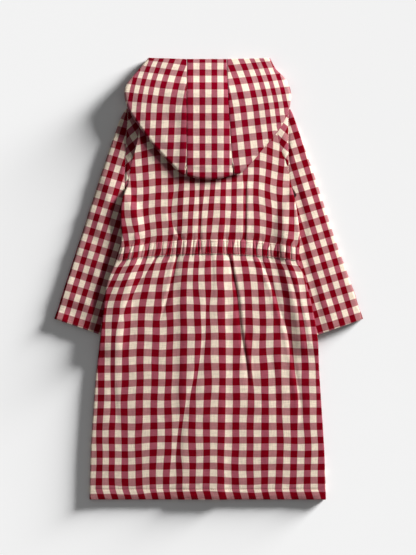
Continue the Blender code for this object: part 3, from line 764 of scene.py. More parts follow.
@dataclass(frozen=True)
class BodyForm:
    """The flattened body: two fronts beneath and the back above."""

    neck_half: float = 85.0
    neck_rise: float = 17.0
    back_neck_rise: float = 6.0
    front_neck_rise: float = -25.0
    straightened_y: float = 214.0
    waist_droop: float = 13.0
    droop_y: tuple[float, float, float] = (-330.0, 63.0, 156.0)
    droop_half: float = 175.0
    hem_turn: float = 8.0
    hem_drop: float = 1.3
    hem_seam_y: float = -422.0
    hem_groove: tuple[float, float] = (0.9, 1.6)  # depth and width of the sewn line above the hem
    hem_roll: tuple[float, float, float] = (0.5, 7.0, 11.0)  # height, width and distance below the sewn line
    hem_slant: float = 0.30
    side_rise: tuple[float, float] = (55.0, 12.0)  # distances from the side between which the back rises
    swell_reach: float = 42.0
    side_fade: float = 18.0
    lowest: float = -0.6  # how far a crease may sink below the plateau
    neck_lift: float = 1.4
    lift_y: tuple[float, float] = (300.0, 328.0)
    lift_x: tuple[float, float] = (92.0, 70.0)
    lap_half: float = 20.0
    lap_ramp: float = 24.0
    lap_clear: tuple[float, float] = (24.0, 4.0)
    left: SmoothCurve = SmoothCurve([(s.y, s.left) for s in BODY])
    right: SmoothCurve = SmoothCurve([(s.y, s.right) for s in BODY])
    left_fold: SmoothCurve = SmoothCurve([(r.inner_y, r.inner_x) for r in RINGS[Side.LEFT][HEAD_RINGS:]])
    right_fold: SmoothCurve = SmoothCurve([(r.inner_y, r.inner_x) for r in RINGS[Side.RIGHT][HEAD_RINGS:]])
    swell: SmoothCurve = SmoothCurve(SWELL)
    rows: SmoothCurve = SmoothCurve(ROWS_OF_CHECK)
    counted: tuple[SmoothCurve, ...] = curves_down(COLUMNS_OF_CHECK)
    outer_spread: tuple[float, ...] = (0.16, 0.0, 0.0, -0.11)  # check drawn outwards between counted columns
    spread_top: tuple[float, float] = (40.0, -50.0)  # heights over which the spread comes in, and goes out
    spread_foot: tuple[float, float] = (-450.0, -330.0)
    hang: tuple[SmoothCurve, ...] = curves_down(ROW_HANG)
    handling: Unevenness = Unevenness(11, 0.22, 26.0, 70.0)
    puckers: Unevenness = Unevenness(5, 0.10, 9.0, 20.0)
    drift_across: Unevenness = Unevenness(41, 0.02, 60.0, 160.0)
    drift_down: Unevenness = Unevenness(43, 0.02, 60.0, 160.0)

    def side(self, side: Side) -> SmoothCurve:
        """x of one side of the body, by height."""
        return self.left if side is Side.LEFT else self.right

    def cover(self, y: Array) -> Array:
        """1 where the body lies over the sleeves, and 0 above the underarm and below the cuff."""
        return ramp(y, COVER_Y[0], COVER_Y[1]) * ramp(y, COVER_Y[3], COVER_Y[2])

    def front_height(self, x: Array, y: Array) -> Array:
        """Middle of the fronts: flat, and lifted where a sleeve lies beneath.

        Args:
            x: places across the gown.
            y: places along the gown.

        Returns:
            the height.
        """
        lifted = COVERED_TOP + CLOTH + AIR - CLOTH / 2
        over_left = ramp(x, self.left_fold(y) + 28, self.left_fold(y) + 3)
        over_right = ramp(x, self.right_fold(y) - 28, self.right_fold(y) - 3)
        return CLOTH / 2 + lifted * self.cover(y) * np.maximum(over_left, over_right)

    def lap_height(self, x: Array) -> Array:
        """How much the inner front is lifted by the outer one."""
        return (CLOTH + SEAM) * ramp(x, -self.lap_half - self.lap_ramp, -self.lap_half - 2)

    def edge_distance(self, x: Array, y: Array) -> Array:
        """Distance from the nearer side of the body."""
        return np.minimum(x - self.left(y), self.right(y) - x)

    def back_height(self, x: Array, y: Array) -> Array:
        """Middle of the back without its swells.

        Args:
            x: places across the gown.
            y: places along the gown.

        Returns:
            the height.
        """
        side = ramp(self.edge_distance(x, y), *self.side_rise) * ramp(y, UNDERARM_Y, BELOW_UNDERARM)
        outside_lap = np.maximum(-self.lap_half - self.lap_ramp - x, x - self.lap_half)
        lap = (CLOTH + SEAM) * ramp(outside_lap, *self.lap_clear)
        neck = self.neck_lift * ramp(y, *self.lift_y) * ramp(np.abs(x), *self.lift_x)
        return self.front_height(x, y) + LAYER + (ROLLED - LAYER) * side + lap + neck

    def neck_line(self, x: Array, centre_rise: float) -> Array:
        """How far the top row lies above the shoulder point, along the shoulder and round the neck.

        Args:
            x: places across the gown.
            centre_rise: how far the neck's middle lies above the shoulder point.

        Returns:
            the distance.
        """
        reach = abs(float(self.left(SHOULDER_Y))) - self.neck_half
        shoulder = self.neck_rise * (1 - (np.abs(x) - self.neck_half) / reach)
        round_neck = np.minimum(1, np.abs(x) / self.neck_half) ** 2.6
        neck = centre_rise + (self.neck_rise - centre_rise) * round_neck
        return np.where(np.abs(x) >= self.neck_half, shoulder, neck)

    def row_y(self, y: Array, x: Array, centre_rise: float) -> Array:
        """y of a row of the body at x: rows follow shoulder and neck, and droop beside the waist.

        Args:
            y: the row's own height at the middle.
            x: places across the gown.
            centre_rise: how far the neck's middle lies above the shoulder point.

        Returns:
            the height of the row at x.
        """
        low, waist, high = self.droop_y
        droop = self.waist_droop * ramp(y, low, waist) * ramp(y, high, waist)
        droop = droop * np.minimum(1.0, (x / self.droop_half) ** 2)
        lift = self.neck_line(x, centre_rise) * ramp(y, self.straightened_y, SHOULDER_Y - 30)
        return y + lift - droop

    def back_plateau(self, x: Array, y: Array) -> Array:
        """Middle of the back without its swells, its lower edge turned down."""
        turned = self.hem_drop * ramp(y, HEM_Y + self.hem_turn, HEM_Y)
        return self.back_height(x, y) - turned * ramp(self.edge_distance(x, y), 6, 20)

    def crease_strength(self, crease: Crease, y: Array) -> Array:
        """How strong a crease is at a height, from 0 to 1."""
        top, bottom = crease.line[0][0], crease.line[-1][0]
        return ramp(y, top + 2, top - crease.fade_in) * ramp(y, bottom - 2, bottom + crease.fade_out)

    def relief(self, x: Array, y: Array) -> Array:
        """Swells, creases and handling of the back, above its plateau.

        Args:
            x: places across the gown.
            y: places along the gown.

        Returns:
            the height above the plateau.
        """
        inside = self.edge_distance(x, y)
        height = self.swell(y) * eased(inside / self.swell_reach)
        for crease in CREASES:
            across = x - SmoothCurve(crease.line)(y)
            strength = self.crease_strength(crease, y)
            ridge = bell(across - crease.ridge_side * crease.width * 1.5, crease.width)
            steep = np.where(across * crease.ridge_side > 0, 0.6, 1.3)
            trough = crease.depth * bell(across, crease.width * steep)
            height = height + strength * (crease.ridge * ridge - trough)
        past_seam = y - self.hem_seam_y
        groove, groove_width = self.hem_groove
        roll, roll_width, below = self.hem_roll
        height = height - groove * bell(past_seam, groove_width) + roll * bell(past_seam + below, roll_width)
        uneven = self.handling(x, y) + self.puckers(x, y)
        return np.maximum(height + uneven, self.lowest) * eased(inside / self.side_fade)

    def columns(self, x: Array, y: Array) -> Array:
        """Place of each point across the gingham, in repeats; a crimson column's middle is at n + 0.5.

        Args:
            x: places across the gown.
            y: places along the gown.

        Returns:
            the count.
        """
        places = [curve(y) for curve in self.counted]
        spread = ramp(y, *self.spread_top) * ramp(y, *self.spread_foot)
        count = np.zeros(np.broadcast(x, y).shape)
        for k, (start, end) in enumerate(zip(places, places[1:])):
            share = (x - start) / (end - start)
            first, last = k == 0, k == len(places) - 2
            share = np.clip(share, -np.inf if first else 0.0, np.inf if last else 1.0)
            share = share + spread * self.outer_spread[k] * np.clip(share * (1 - share), 0.0, 0.25)
            count = count + COLUMNS_APART * share
        for crease in CREASES:
            across = (x - SmoothCurve(crease.line)(y)) / crease.width
            taken = 0.5 * crease.hides / REPEAT * self.crease_strength(crease, y)
            count = count + taken * np.tanh(1.5 * across) * bell(across, 3.5)
        slant = self.hem_slant * np.maximum(0, self.hem_seam_y - y) / REPEAT
        return count + 0.5 - slant + self.drift_across(x, y) + GATHERS.taken_up(x, y)

    def check_rows(self, x: Array, y: Array) -> Array:
        """Place of each point along the gingham, counted in repeats from neck to hem.

        Args:
            x: places across the gown.
            y: places along the gown.

        Returns:
            the count.
        """
        x, y = np.broadcast_arrays(x, y)
        hangs = [curve(y) for curve in self.hang]
        total = hangs[0]
        for left, right, start, end in zip(HANG_X, HANG_X[1:], hangs, hangs[1:]):
            total = total + (end - start) * ramp(x, left, right)
        return self.rows(y + total) + self.drift_down(x, y)


FORM = BodyForm()


class Gather(NamedTuple):
    """One small fold of the gathered waist."""

    x: float
    depth: float
    lean: float
    above: float
    below: float


@dataclass(frozen=True)
class Gathers:
    """The small folds that the elastic draws up across the waist."""

    count: int = 36
    left: float = -176.0
    right: float = 179.0
    width: float = 1.9
    hides: float = 4.5
    seed: int = 7
    depths: tuple[float, float] = (0.5, 1.25)
    above: tuple[float, float] = (9.0, 40.0)
    below: tuple[float, float] = (12.0, 50.0)

    def folds(self) -> list[Gather]:
        """Places and sizes of the folds, uneven in spacing, depth and length.

        Returns:
            the folds from left to right.
        """
        draw = np.random.default_rng(self.seed)
        spacing = (self.right - self.left) / self.count
        made = []
        for i in range(self.count):
            x = self.left + spacing * (i + 0.5 + draw.uniform(-0.3, 0.3))
            lean = -0.22 * min(1.0, max(0.0, -x / 120)) + draw.uniform(-0.08, 0.08)
            made.append(Gather(x, draw.uniform(*self.depths), lean, draw.uniform(*self.above),
                               draw.uniform(*self.below)))
        return made

    def across(self, fold: Gather, x: Array, y: Array) -> Array:
        """Distance across from a fold's slanted line."""
        return x - fold.x - fold.lean * (WAIST_Y - y)

    def taken_up(self, x: Array, y: Array) -> Array:
        """How the folds draw the check together, in repeats, fading away from the tunnel.

        Args:
            x: places across the gown.
            y: places along the gown.

        Returns:
            the shift across, in repeats.
        """
        total = np.zeros(np.broadcast(x, y).shape)
        for fold in self.folds():
            reach = np.where(y > WAIST_Y, (y - TUNNEL_TOP) / fold.above, (TUNNEL_BOTTOM - y) / fold.below)
            across = self.across(fold, x, y) / self.width
            pinch = 0.5 * self.hides * fold.depth / REPEAT * eased(1 - np.maximum(0, reach))
            total = total + pinch * np.tanh(2 * across) * bell(across, 2.2)
        return total

    def on_back(self, x: Array, y: Array) -> Array:
        """Depth of the folds where they run out into the back, above and below the tunnel.

        Args:
            x: places across the gown.
            y: places along the gown.

        Returns:
            the depth.
        """
        total = np.zeros(np.broadcast(x, y).shape)
        above, below = y - TUNNEL_TOP, TUNNEL_BOTTOM - y
        for fold in self.folds():
            fade = np.where(y > WAIST_Y, eased(1 - above / fold.above), eased(1 - below / fold.below))
            spread = 1 + np.maximum(0, np.maximum(above, below)) / 22
            fan = fold.x / 180 * np.maximum(0, below) * 0.28
            across = self.across(fold, x, y) - fan
            total = total + fold.depth * fade * bell(across, self.width * spread) / spread ** 0.5
        return total


GATHERS = Gathers()


def arc(count: int) -> Array:
    """Angles of a quarter turn from level to upright, in radians."""
    return np.radians(np.linspace(0, 90, count))


def side_roll(edge: Array, inward: int, y: Array, flat: Array, plateau: Callable[[Array, Array], Array],
              seam_side: int) -> tuple[Array, Array]:
    """The points of each row beside a side seam or an armhole, from the edge inwards.

    Args:
        edge: x of the edge for each row.
        inward: +1 at the left edge and -1 at the right one.
        y: height of each row.
        flat: 1 where the cloth ends level at an armhole, and 0 where it rolls to a side seam.
        plateau: gives the height of the middle surface.
        seam_side: +1 for the back, which rolls down, and -1 for the fronts, which roll up.

    Returns:
        x and z, each rows by points.
    """
    level = plateau(edge + inward * (CLOTH / 2 + BEND), y)
    angles = np.concatenate([[0.0], arc(7)])
    across, height = [], []
    for i, angle in enumerate(angles):
        ease = UNDERARM_EASE * ramp(y, UNDERARM_Y - 33, BELOW_UNDERARM)
        drop = BEND * (1 - math.sin(angle)) + (RISE - SEAM - ease if i == 0 else 0.0)
        rolled_x = edge + inward * (CLOTH / 2 + BEND * (1 - math.cos(angle)))
        level_x = edge + inward * (SEAM / 2 + (CLOTH / 2 + BEND) * i / (len(angles) - 1))
        across.append(rolled_x * (1 - flat) + level_x * flat)
        height.append((level - seam_side * drop) * (1 - flat) + plateau(level_x, y) * flat)
    return np.array(across).T, np.array(height).T


def with_shoulder(points: Array, centre_rise: float, seam_side: int) -> Array:
    """Adds the rows that roll over the shoulder to its seam, or end level round the neck.

    Args:
        points: rows by columns of middle points.
        centre_rise: how far the neck's middle lies above the shoulder point.
        seam_side: +1 for the back, which rolls down, and -1 for the fronts, which roll up.

    Returns:
        the grid with its new first rows.
    """
    first = points[0]
    x, z = first[:, 0], first[:, 2]
    line = FORM.row_y(np.full_like(x, SHOULDER_Y), x, centre_rise)
    sewn = ramp(np.abs(x), FORM.neck_half, FORM.neck_half + 3)
    top = []
    angles = np.concatenate([[0.0], arc(6)[:-1]])
    for i, angle in enumerate(angles):
        drop = SHOULDER_BEND * (1 - math.sin(angle)) + (SHOULDER_RISE - 1.5 * SEAM if i == 0 else 0.0)
        rolled = line - CLOTH / 2 - SHOULDER_BEND * (1 - math.cos(angle))
        level = line - SEAM / 2 - (CLOTH / 2 + SHOULDER_BEND) * i / len(angles)
        top.append(np.stack([x, rolled * sewn + level * (1 - sewn), z - seam_side * drop * sewn], axis=-1))
    return np.concatenate([np.array(top), points])


STITCH = 2.6  # length of a stitch that shows
STITCH_GAP = 1.2
THREAD_RADIUS = 0.28
STITCH_STEPS = 8
THREAD_SIDES = 6


def stitch_row(surface: Array) -> Array:
    """A sewn thread along a line of the cloth's surface, showing in stitches and sinking between them.

    Args:
        surface: points along the line, in millimetres.

    Returns:
        points round the thread, rings by points.
    """
    run = np.concatenate([[0.0], np.cumsum(np.linalg.norm(np.diff(surface[:, :2], axis=0), axis=1))])
    along = np.arange(2.0, run[-1] - 2.0, (STITCH + STITCH_GAP) / STITCH_STEPS)
    path = np.stack([np.interp(along, run, surface[:, k]) for k in range(3)], axis=-1)
    within = np.mod(along, STITCH + STITCH_GAP) / STITCH
    showing = 0.10 + 0.12 * np.sin(math.pi * np.minimum(within, 1))
    path[:, 2] += np.where(within < 1, showing, -0.6)
    turns = np.linspace(0, 2 * math.pi, THREAD_SIDES + 1)
    ring = np.stack([np.zeros(len(turns)), np.cos(turns), np.sin(turns)], axis=-1) * THREAD_RADIUS
    return path[:, None] + ring[None]


def stitches(name: str, rows: list[Array]) -> bpy.types.Object:
    """Makes one piece of the rows of sewing.

    Args:
        name: the piece's name.
        rows: rings of points round each thread.

    Returns:
        the finished object.
    """
    made = []
    for points in rows:
        made.append(laid_grid(name, points, points[..., :2] / REPEAT)[0])
        joined_sides()
    for piece in made:
        piece.select_set(True)
    bpy.context.view_layer.objects.active = made[0]
    if len(made) > 1:
        bpy.ops.object.join()
    piece = made[0]
    bpy.ops.object.shade_smooth()
    piece.data.materials.append(Thread(name + "_thread").material())
    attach(piece, ROOT)
    return piece


BODY_ROWS = stations((351, 197, 7), (197, 193, 4), (193, 189, 4), (189, 100, 3.6), (100, 26, 1.7),
                     (26, -60, 3.4), (-60, -408, 6.2), (-408, -430, 1.4), (-430, HEM_Y, 1.6))


@dataclass
class Back:
    """The back: one cut from neck to hem, in soft swells parted by creases."""

    across: int = 188
    rise: float = FORM.back_neck_rise
    hem_stitch_inset: float = 7.0
    neck_turned_in: tuple[float, float] = (0.15, 0.02)  # check drawn up over the shoulder's roll, in repeats

    def middle(self, x: Array, y: Array) -> Array:
        """Middle surface of the back."""
        gathered = 1.1 * GATHERS.on_back(x, y) * ramp(FORM.edge_distance(x, y), 2, 14)
        return FORM.back_plateau(x, y) + FORM.relief(x, y) - gathered

    def hem_stitches(self) -> bpy.types.Object:
        """Sews the line above the hem.

        Returns:
            the finished object.
        """
        inset = self.hem_stitch_inset
        x = np.linspace(FORM.left(FORM.hem_seam_y) + inset, FORM.right(FORM.hem_seam_y) - inset, 900)
        y = np.full_like(x, FORM.hem_seam_y)
        line = np.stack([x, FORM.row_y(y, x, self.rise), self.middle(x, y) + CLOTH / 2], axis=-1)
        return stitches("hem_stitches", [stitch_row(line)])

    def build(self, finish: bpy.types.Material) -> bpy.types.Object:
        """Builds and dresses the back.

        Args:
            finish: the cloth's material.

        Returns:
            the finished object.
        """
        y = BODY_ROWS
        flat = (y >= UNDERARM_Y).astype(float)
        left_x, left_z = side_roll(FORM.left(y), 1, y, flat, FORM.back_plateau, 1)
        right_x, right_z = side_roll(FORM.right(y), -1, y, flat, FORM.back_plateau, 1)
        share = np.linspace(0, 1, self.across)[None, 1:-1]
        x = left_x[:, -1:] * (1 - share) + right_x[:, -1:] * share
        level = np.repeat(y[:, None], x.shape[1], axis=1)
        z = np.concatenate([left_z, self.middle(x, level), right_z[:, ::-1]], axis=1)
        x = np.concatenate([left_x, x, right_x[:, ::-1]], axis=1)
        level = np.repeat(y[:, None], x.shape[1], axis=1)
        points = np.stack([x, FORM.row_y(level, x, self.rise), z], axis=-1)
        checks = np.stack([FORM.columns(x, level), FORM.check_rows(x, level)], axis=-1)
        points = with_shoulder(points, self.rise, 1)
        added = len(points) - len(checks)
        top = np.repeat(checks[:1], added, axis=0)
        top[..., 1] -= np.linspace(*self.neck_turned_in, added)[:, None]
        checks = np.concatenate([top, checks])
        back = cloth_piece("back_cloth", points, checks, CLOTH, Edges.ALL, (0.16, 0.7))
        dressed(back, finish, "back")
        self.hem_stitches()
        return back


@dataclass
class Front:
    """One front, from its side seam to its edge past the centre."""

    side: Side
    rise: float = FORM.front_neck_rise
    check: float = 28.0

    @property
    def name(self) -> str:
        """Name of the piece and its node."""
        return "front_" + self.side.name.lower()

    def plateau(self, x: Array, y: Array) -> Array:
        """Middle surface of this front."""
        return FORM.front_height(x, y) + (FORM.lap_height(x) if self.side is Side.LEFT else 0.0)

    def inner_places(self, y: Array, near: Array) -> Array:
        """x of each row's points from the rolled side, past the sleeve beneath, to the front's edge.

        Args:
            y: the rows' heights.
            near: x where the rolled side ends.

        Returns:
            rows by points.
        """
        inward = -self.side.value
        fold = FORM.left_fold if self.side is Side.LEFT else FORM.right_fold
        sleeve = near + inward * np.maximum(4.0, inward * (fold(np.minimum(y, COVER_Y[1])) - near))
        lap, foot = FORM.lap_half, FORM.lap_half + FORM.lap_ramp
        edge = (-foot, -lap - 2, lap) if self.side is Side.LEFT else (foot, -lap)
        ends = [near, sleeve, sleeve + inward * 28] + [np.full_like(y, place) for place in edge]
        stretches = []
        for start, end, count in zip(ends, ends[1:], (5, 10, 24, 8, 8)):
            share = np.linspace(0, 1, count + 1)[None, 1:]
            stretches.append(start[:, None] * (1 - share) + end[:, None] * share)
        return np.concatenate(stretches, axis=1)

    def build(self, finish: bpy.types.Material) -> bpy.types.Object:
        """Builds and dresses the front.

        Args:
            finish: the cloth's material.

        Returns:
            the finished object.
        """
        y = BODY_ROWS[::2] if len(BODY_ROWS) % 2 else np.append(BODY_ROWS[::2], BODY_ROWS[-1])
        y = np.unique(np.append(y, (UNDERARM_Y, BELOW_UNDERARM)))[::-1]
        flat = (y >= UNDERARM_Y).astype(float)
        side_x, side_z = side_roll(FORM.side(self.side)(y), -self.side.value, y, flat, self.plateau, -1)
        x = np.concatenate([side_x, self.inner_places(y, side_x[:, -1])], axis=1)
        level = np.repeat(y[:, None], x.shape[1], axis=1)
        z = self.plateau(x, level)
        z[:, :side_z.shape[1]] = side_z
        points = np.stack([x, FORM.row_y(level, x, self.rise), z], axis=-1)
        checks = np.stack([x / self.check + 0.5, FORM.rows(level)], axis=-1)
        points = with_shoulder(points, self.rise, -1)
        checks = np.concatenate([np.repeat(checks[:1], len(points) - len(checks), axis=0), checks])
        front = cloth_piece(self.name + "_cloth", points, checks, CLOTH, Edges.ALL)
        dressed(front, finish, self.name)
        return front


@dataclass
class WaistTunnel:
    """The elastic tunnel: a narrow band of the back's own cloth, drawn up into small upright folds."""

    steps: int = 620
    rows: int = 22
    inset: float = 4.2
    crown: float = 1.5
    clear: float = 0.15
    valley_width: float = 1.2
    sewn_row: int = 4

    def build(self, finish: bpy.types.Material, back: Back) -> bpy.types.Object:
        """Builds and dresses the tunnel.

        Args:
            finish: the cloth's material.
            back: the back that carries the tunnel.

        Returns:
            the finished object.
        """
        depth = TUNNEL_TOP - TUNNEL_BOTTOM
        y = TUNNEL_TOP - depth * (0.5 - 0.5 * np.cos(np.linspace(0, math.pi, self.rows)))
        share = np.linspace(0, 1, self.steps)[None, :]
        left, right = FORM.left(y) + self.inset, FORM.right(y) - self.inset
        x = left[:, None] * (1 - share) + right[:, None] * share
        level = np.repeat(y[:, None], self.steps, axis=1)
        arch = np.sin(math.pi * (TUNNEL_TOP - level) / depth) ** 0.6
        ends = eased(FORM.edge_distance(x, level) / 14.0)
        valley = np.zeros_like(x)
        for fold in GATHERS.folds():
            valley = np.maximum(valley, fold.depth * bell(GATHERS.across(fold, x, level), self.valley_width))
        lift = self.crown * arch * (1 - valley) * (0.35 + 0.65 * ends)
        z = back.middle(x, level) + CLOTH / 2 + self.clear + TUNNEL_CLOTH / 2 + lift
        points = np.stack([x, FORM.row_y(level, x, 0.0), z], axis=-1)
        upper = points + (0, 0, TUNNEL_CLOTH / 2)
        sewn = [stitch_row(upper[row]) for row in (self.sewn_row, -1 - self.sewn_row)]
        checks = np.stack([FORM.columns(x, level), FORM.check_rows(x, level)], axis=-1)
        tunnel = cloth_piece("waist_tunnel_cloth", points, checks, TUNNEL_CLOTH, Edges.ALL)
        dressed(tunnel, finish, "waist_tunnel")
        rows = stitches("tunnel_stitches", sewn)
        return tunnel


# ------------------------------------------------------------------------------------------- sleeves
@dataclass(frozen=True)
class SleevePattern:
    """How the gingham lies on a sleeve."""

    lean: float  # degrees that the columns lean outwards
    across: float  # one repeat across the arm
    along: float
    column_phase: float
    row_phase: float


SLEEVE_PATTERNS = {
    Side.LEFT: SleevePattern(17.1, 22.2, 30.1, 0.78, 0.17),
    Side.RIGHT: SleevePattern(17.0, 23.1, 29.5, 0.575, 0.035),
}


@dataclass
class Sleeve:
    """A sleeve: one flattened tube from the armhole to the cuff, part of it under the body."""

    side: Side
    around: int = 46
    bottom: float = CLOTH / 2
    end_level: float = 3.0
    armhole_top: float = CLOTH / 2 + LAYER
    under_hood_y: tuple[float, float] = (292.0, 318.0)
    under_hood_x: tuple[float, float] = (180.0, 169.0)
    head_rise: tuple[float, float] = (1.0, 19.0)  # distance from the armhole over which the head rises
    groove_depth: float = 1.3
    groove_width: float = 2.6
    groove_foot: tuple[float, float] = (172.0, 200.0)
    groove_top: tuple[float, float] = (345.0, 320.0)
    crown: float = 1.6
    head_turn: float = 38.0
    handling: Unevenness = Unevenness(23, 0.35, 24.0, 80.0)

    @property
    def name(self) -> str:
        """Name of the piece and its node."""
        return "sleeve_" + self.side.name.lower()

    def armhole(self) -> Array:
        """Points of the armhole from the shoulder down to the underarm, finely spaced.

        Returns:
            x and y of each point.
        """
        lowest = UNDERARM_Y + CLOTH / 2 + (self.armhole_top - self.bottom) / 2
        y = np.linspace(351, lowest, 60)
        x = FORM.side(self.side)(y) + self.side.value * SEAM / 2
        return np.stack([x, FORM.row_y(y, x, 0.0)], axis=-1)

    def outside(self, x: Array, y: Array) -> Array:
        """Distance outwards from the body's side."""
        return self.side.value * (x - FORM.side(self.side)(y))

    def top_height(self, x: Array, y: Array, free: Array) -> Array:
        """Middle of the sleeve's upper layer.

        Args:
            x: places across.
            y: places along.
            free: height that the layer has where nothing presses on it.

        Returns:
            the height at each place.
        """
        outside = self.outside(x, y)
        covered = ramp(y, COVER_Y[0], COVER_Y[1]) * ramp(outside, 7 + COVER_RISE, 7)
        hooded = ramp(y, *self.under_hood_y) * ramp(np.abs(x), *self.under_hood_x)
        free = free * (1 - hooded) + np.minimum(free, self.armhole_top) * hooded
        rising = ramp(outside, *self.head_rise)
        free = free * rising + np.minimum(free, self.armhole_top) * (1 - rising)
        sunk = self.groove_depth * bell(np.abs(x) - self.groove(y), self.groove_width)
        sunk = sunk * ramp(y, *self.groove_foot) * ramp(y, *self.groove_top)
        return free * (1 - covered) + COVERED_TOP * covered - sunk

    def groove(self, y: Array) -> Array:
        """Distance of the groove beside the sleeve's head from the middle of the gown."""
        return SmoothCurve(HEAD_GROOVE[self.side])(y)

    def ring_at(self, t: float) -> Ring:
        """The ring at a place between the table's rings."""
        return Ring(*(float(SmoothCurve(list(enumerate(values)))(t)) for values in zip(*RINGS[self.side])))

    def turn(self, corner: Array, away: Array, rising: Array) -> tuple[Array, Array]:
        """The points round one fold of the tube.

        Args:
            corner: the upper layer's point at the fold.
            away: unit direction out of the tube.
            rising: angles of the points.

        Returns:
            the points and their places on the unfolded cloth.
        """
        radius = (corner[2] - self.bottom) / 2
        out = radius * np.cos(rising)
        ring = np.column_stack([corner[0] + away[0] * out, corner[1] + away[1] * out,
                                self.bottom + radius * (1 + np.sin(rising))])
        reach = radius * (math.pi / 2 - rising)
        return ring, corner[None, :2] + away[None] * reach[:, None]

    def loop(self, top: Array, aways: tuple[Array, Array]) -> tuple[Array, Array]:
        """One ring's points, from the underarm beneath, round the outer fold and back over the top.

        Args:
            top: the upper layer's points from the outer to the inner fold.
            aways: unit directions out of the tube at its inner and outer fold.

        Returns:
            the points and their places on the unfolded cloth.
        """
        angles = np.radians(np.linspace(-75, 75, 9))
        outer, inner = top[0], top[-1]
        outer_ring, outer_flat = self.turn(outer, aways[1], angles)
        inner_ring, inner_flat = self.turn(inner, aways[0], angles[::-1])
        under = top[::-2].copy()
        under[:, 2] = self.bottom
        past = np.linalg.norm(under[:, :2] - outer[:2], axis=1) + math.pi * (outer[2] - self.bottom) / 2
        under_flat = outer[None, :2] + aways[1][None] * past[:, None]
        points = np.concatenate([under, outer_ring, top, inner_ring, under[:1]])
        last = inner_flat[-1:] + aways[0][None] * 1.0
        return points, np.concatenate([under_flat, outer_flat, top[:, :2], inner_flat, last])

    def end_row(self, armhole: Array, share: Array, out: float) -> tuple[Array, Array]:
        """The loop at the armhole, or a little way out from it.

        Args:
            armhole: points of the armhole.
            share: places round the loop, from 0 to 1.
            out: distance from the armhole.

        Returns:
            the points and their places on the unfolded cloth.
        """
        along = np.linspace(0, 1, len(armhole))
        place = np.stack([np.interp(share, along, armhole[:, k]) for k in (0, 1)], axis=-1)
        place = place + np.array([self.side.value * out, 0.0])
        height = self.top_height(*place.T, np.full(self.around, self.armhole_top))
        inner_away, outer_away = armhole[-1] - armhole[-4], armhole[0] - armhole[3]
        aways = (inner_away / np.linalg.norm(inner_away), outer_away / np.linalg.norm(outer_away))
        return self.loop(np.column_stack([place, height]), aways)

    def arm_row(self, armhole: Array, share: Array, t: float) -> tuple[Array, Array]:
        """The loop at a place between the table's rings.

        Args:
            armhole: points of the armhole.
            share: places round the loop, from 0 to 1.
            t: place between the table's rings.

        Returns:
            the points and their places on the unfolded cloth.
        """
        ring = self.ring_at(t)
        outer, inner = np.array([ring.outer_x, ring.outer_y]), np.array([ring.inner_x, ring.inner_y])
        length = np.linalg.norm(inner - outer)
        run = (inner - outer) / length
        end = (CLOTH / 2 + (ring.height - self.bottom) / 2) / length
        end_inner = (CLOTH / 2 + (COVERED_TOP - self.bottom) / 2) / length
        q = end + (1 - end - end_inner) * share
        along = np.linspace(0, 1, len(armhole))
        curve = np.stack([np.interp(q, along, armhole[:, k]) for k in (0, 1)], axis=-1)
        q = q[:, None]
        bowed = (curve - (armhole[0][None] * (1 - q) + armhole[-1][None] * q)) * ring.bow
        place = outer[None] * (1 - q) + inner[None] * q + bowed
        x, y = place.T
        crown = self.crown * np.sin(math.pi * share) ** 0.8 * ramp(t, 4.0, 6.0)
        puffed = (crown + self.handling(x, y)) * ramp(self.outside(x, y), 8, 26) * ramp(t, 1.5, 3)
        height = self.top_height(x, y, np.full(self.around, ring.height)) + puffed
        return self.loop(np.column_stack([place, height]), (run, -run))

    def checks(self, points: Array, flat: Array) -> Array:
        """Places on the gingham, turned where the head is eased in.

        Args:
            points: the sleeve's points.
            flat: their places on the unfolded cloth.

        Returns:
            the places on the gingham, in repeats.
        """
        pattern = SLEEVE_PATTERNS[self.side]
        lean = math.radians(pattern.lean) * self.side.value
        down = np.array([math.sin(lean), -math.cos(lean)])
        right = np.array([math.cos(lean), math.sin(lean)])
        checks = np.stack([flat @ right / pattern.across + pattern.column_phase,
                           flat @ down / pattern.along + pattern.row_phase], axis=-1)
        x, y = points[..., 0], points[..., 1]
        head = (np.abs(x) < self.groove(y) - 1) & (y > UNDERARM_Y - 20)
        turn = math.radians(self.head_turn) * self.side.value
        turned = np.array([[math.cos(turn), math.sin(turn)], [-math.sin(turn), math.cos(turn)]])
        checks[head] = (checks @ turned)[head]
        return checks

    def build(self, finish: bpy.types.Material) -> bpy.types.Object:
        """Builds and dresses the sleeve.

        Args:
            finish: the cloth's material.

        Returns:
            the finished object.
        """
        armhole = self.armhole()
        share = np.linspace(0, 1, self.around)
        loops = [self.end_row(armhole, share, out) for out in (0.0, self.end_level)]
        loops += [self.arm_row(armhole, share, t) for t in stations((0, 4, 0.125), (4, 12, 0.1))]
        points, flat = (np.array(grid) for grid in zip(*loops))
        checks = self.checks(points, flat)
        sleeve = cloth_piece(self.name + "_cloth", points, checks, CLOTH, Edges.ENDS, (0.6, 0.16))
        dressed(sleeve, finish, self.name)
        return sleeve


# ---------------------------------------------------------------------------------------------- hood
class HoodRow(NamedTuple):
    """A row of the hood's side, from the strip's seam round the outer fold and back beneath."""

    seam_y: float
    fold_x: float
    fold_y: float
    under_x: float
    under_y: float
    bend_x: float
    bend_y: float


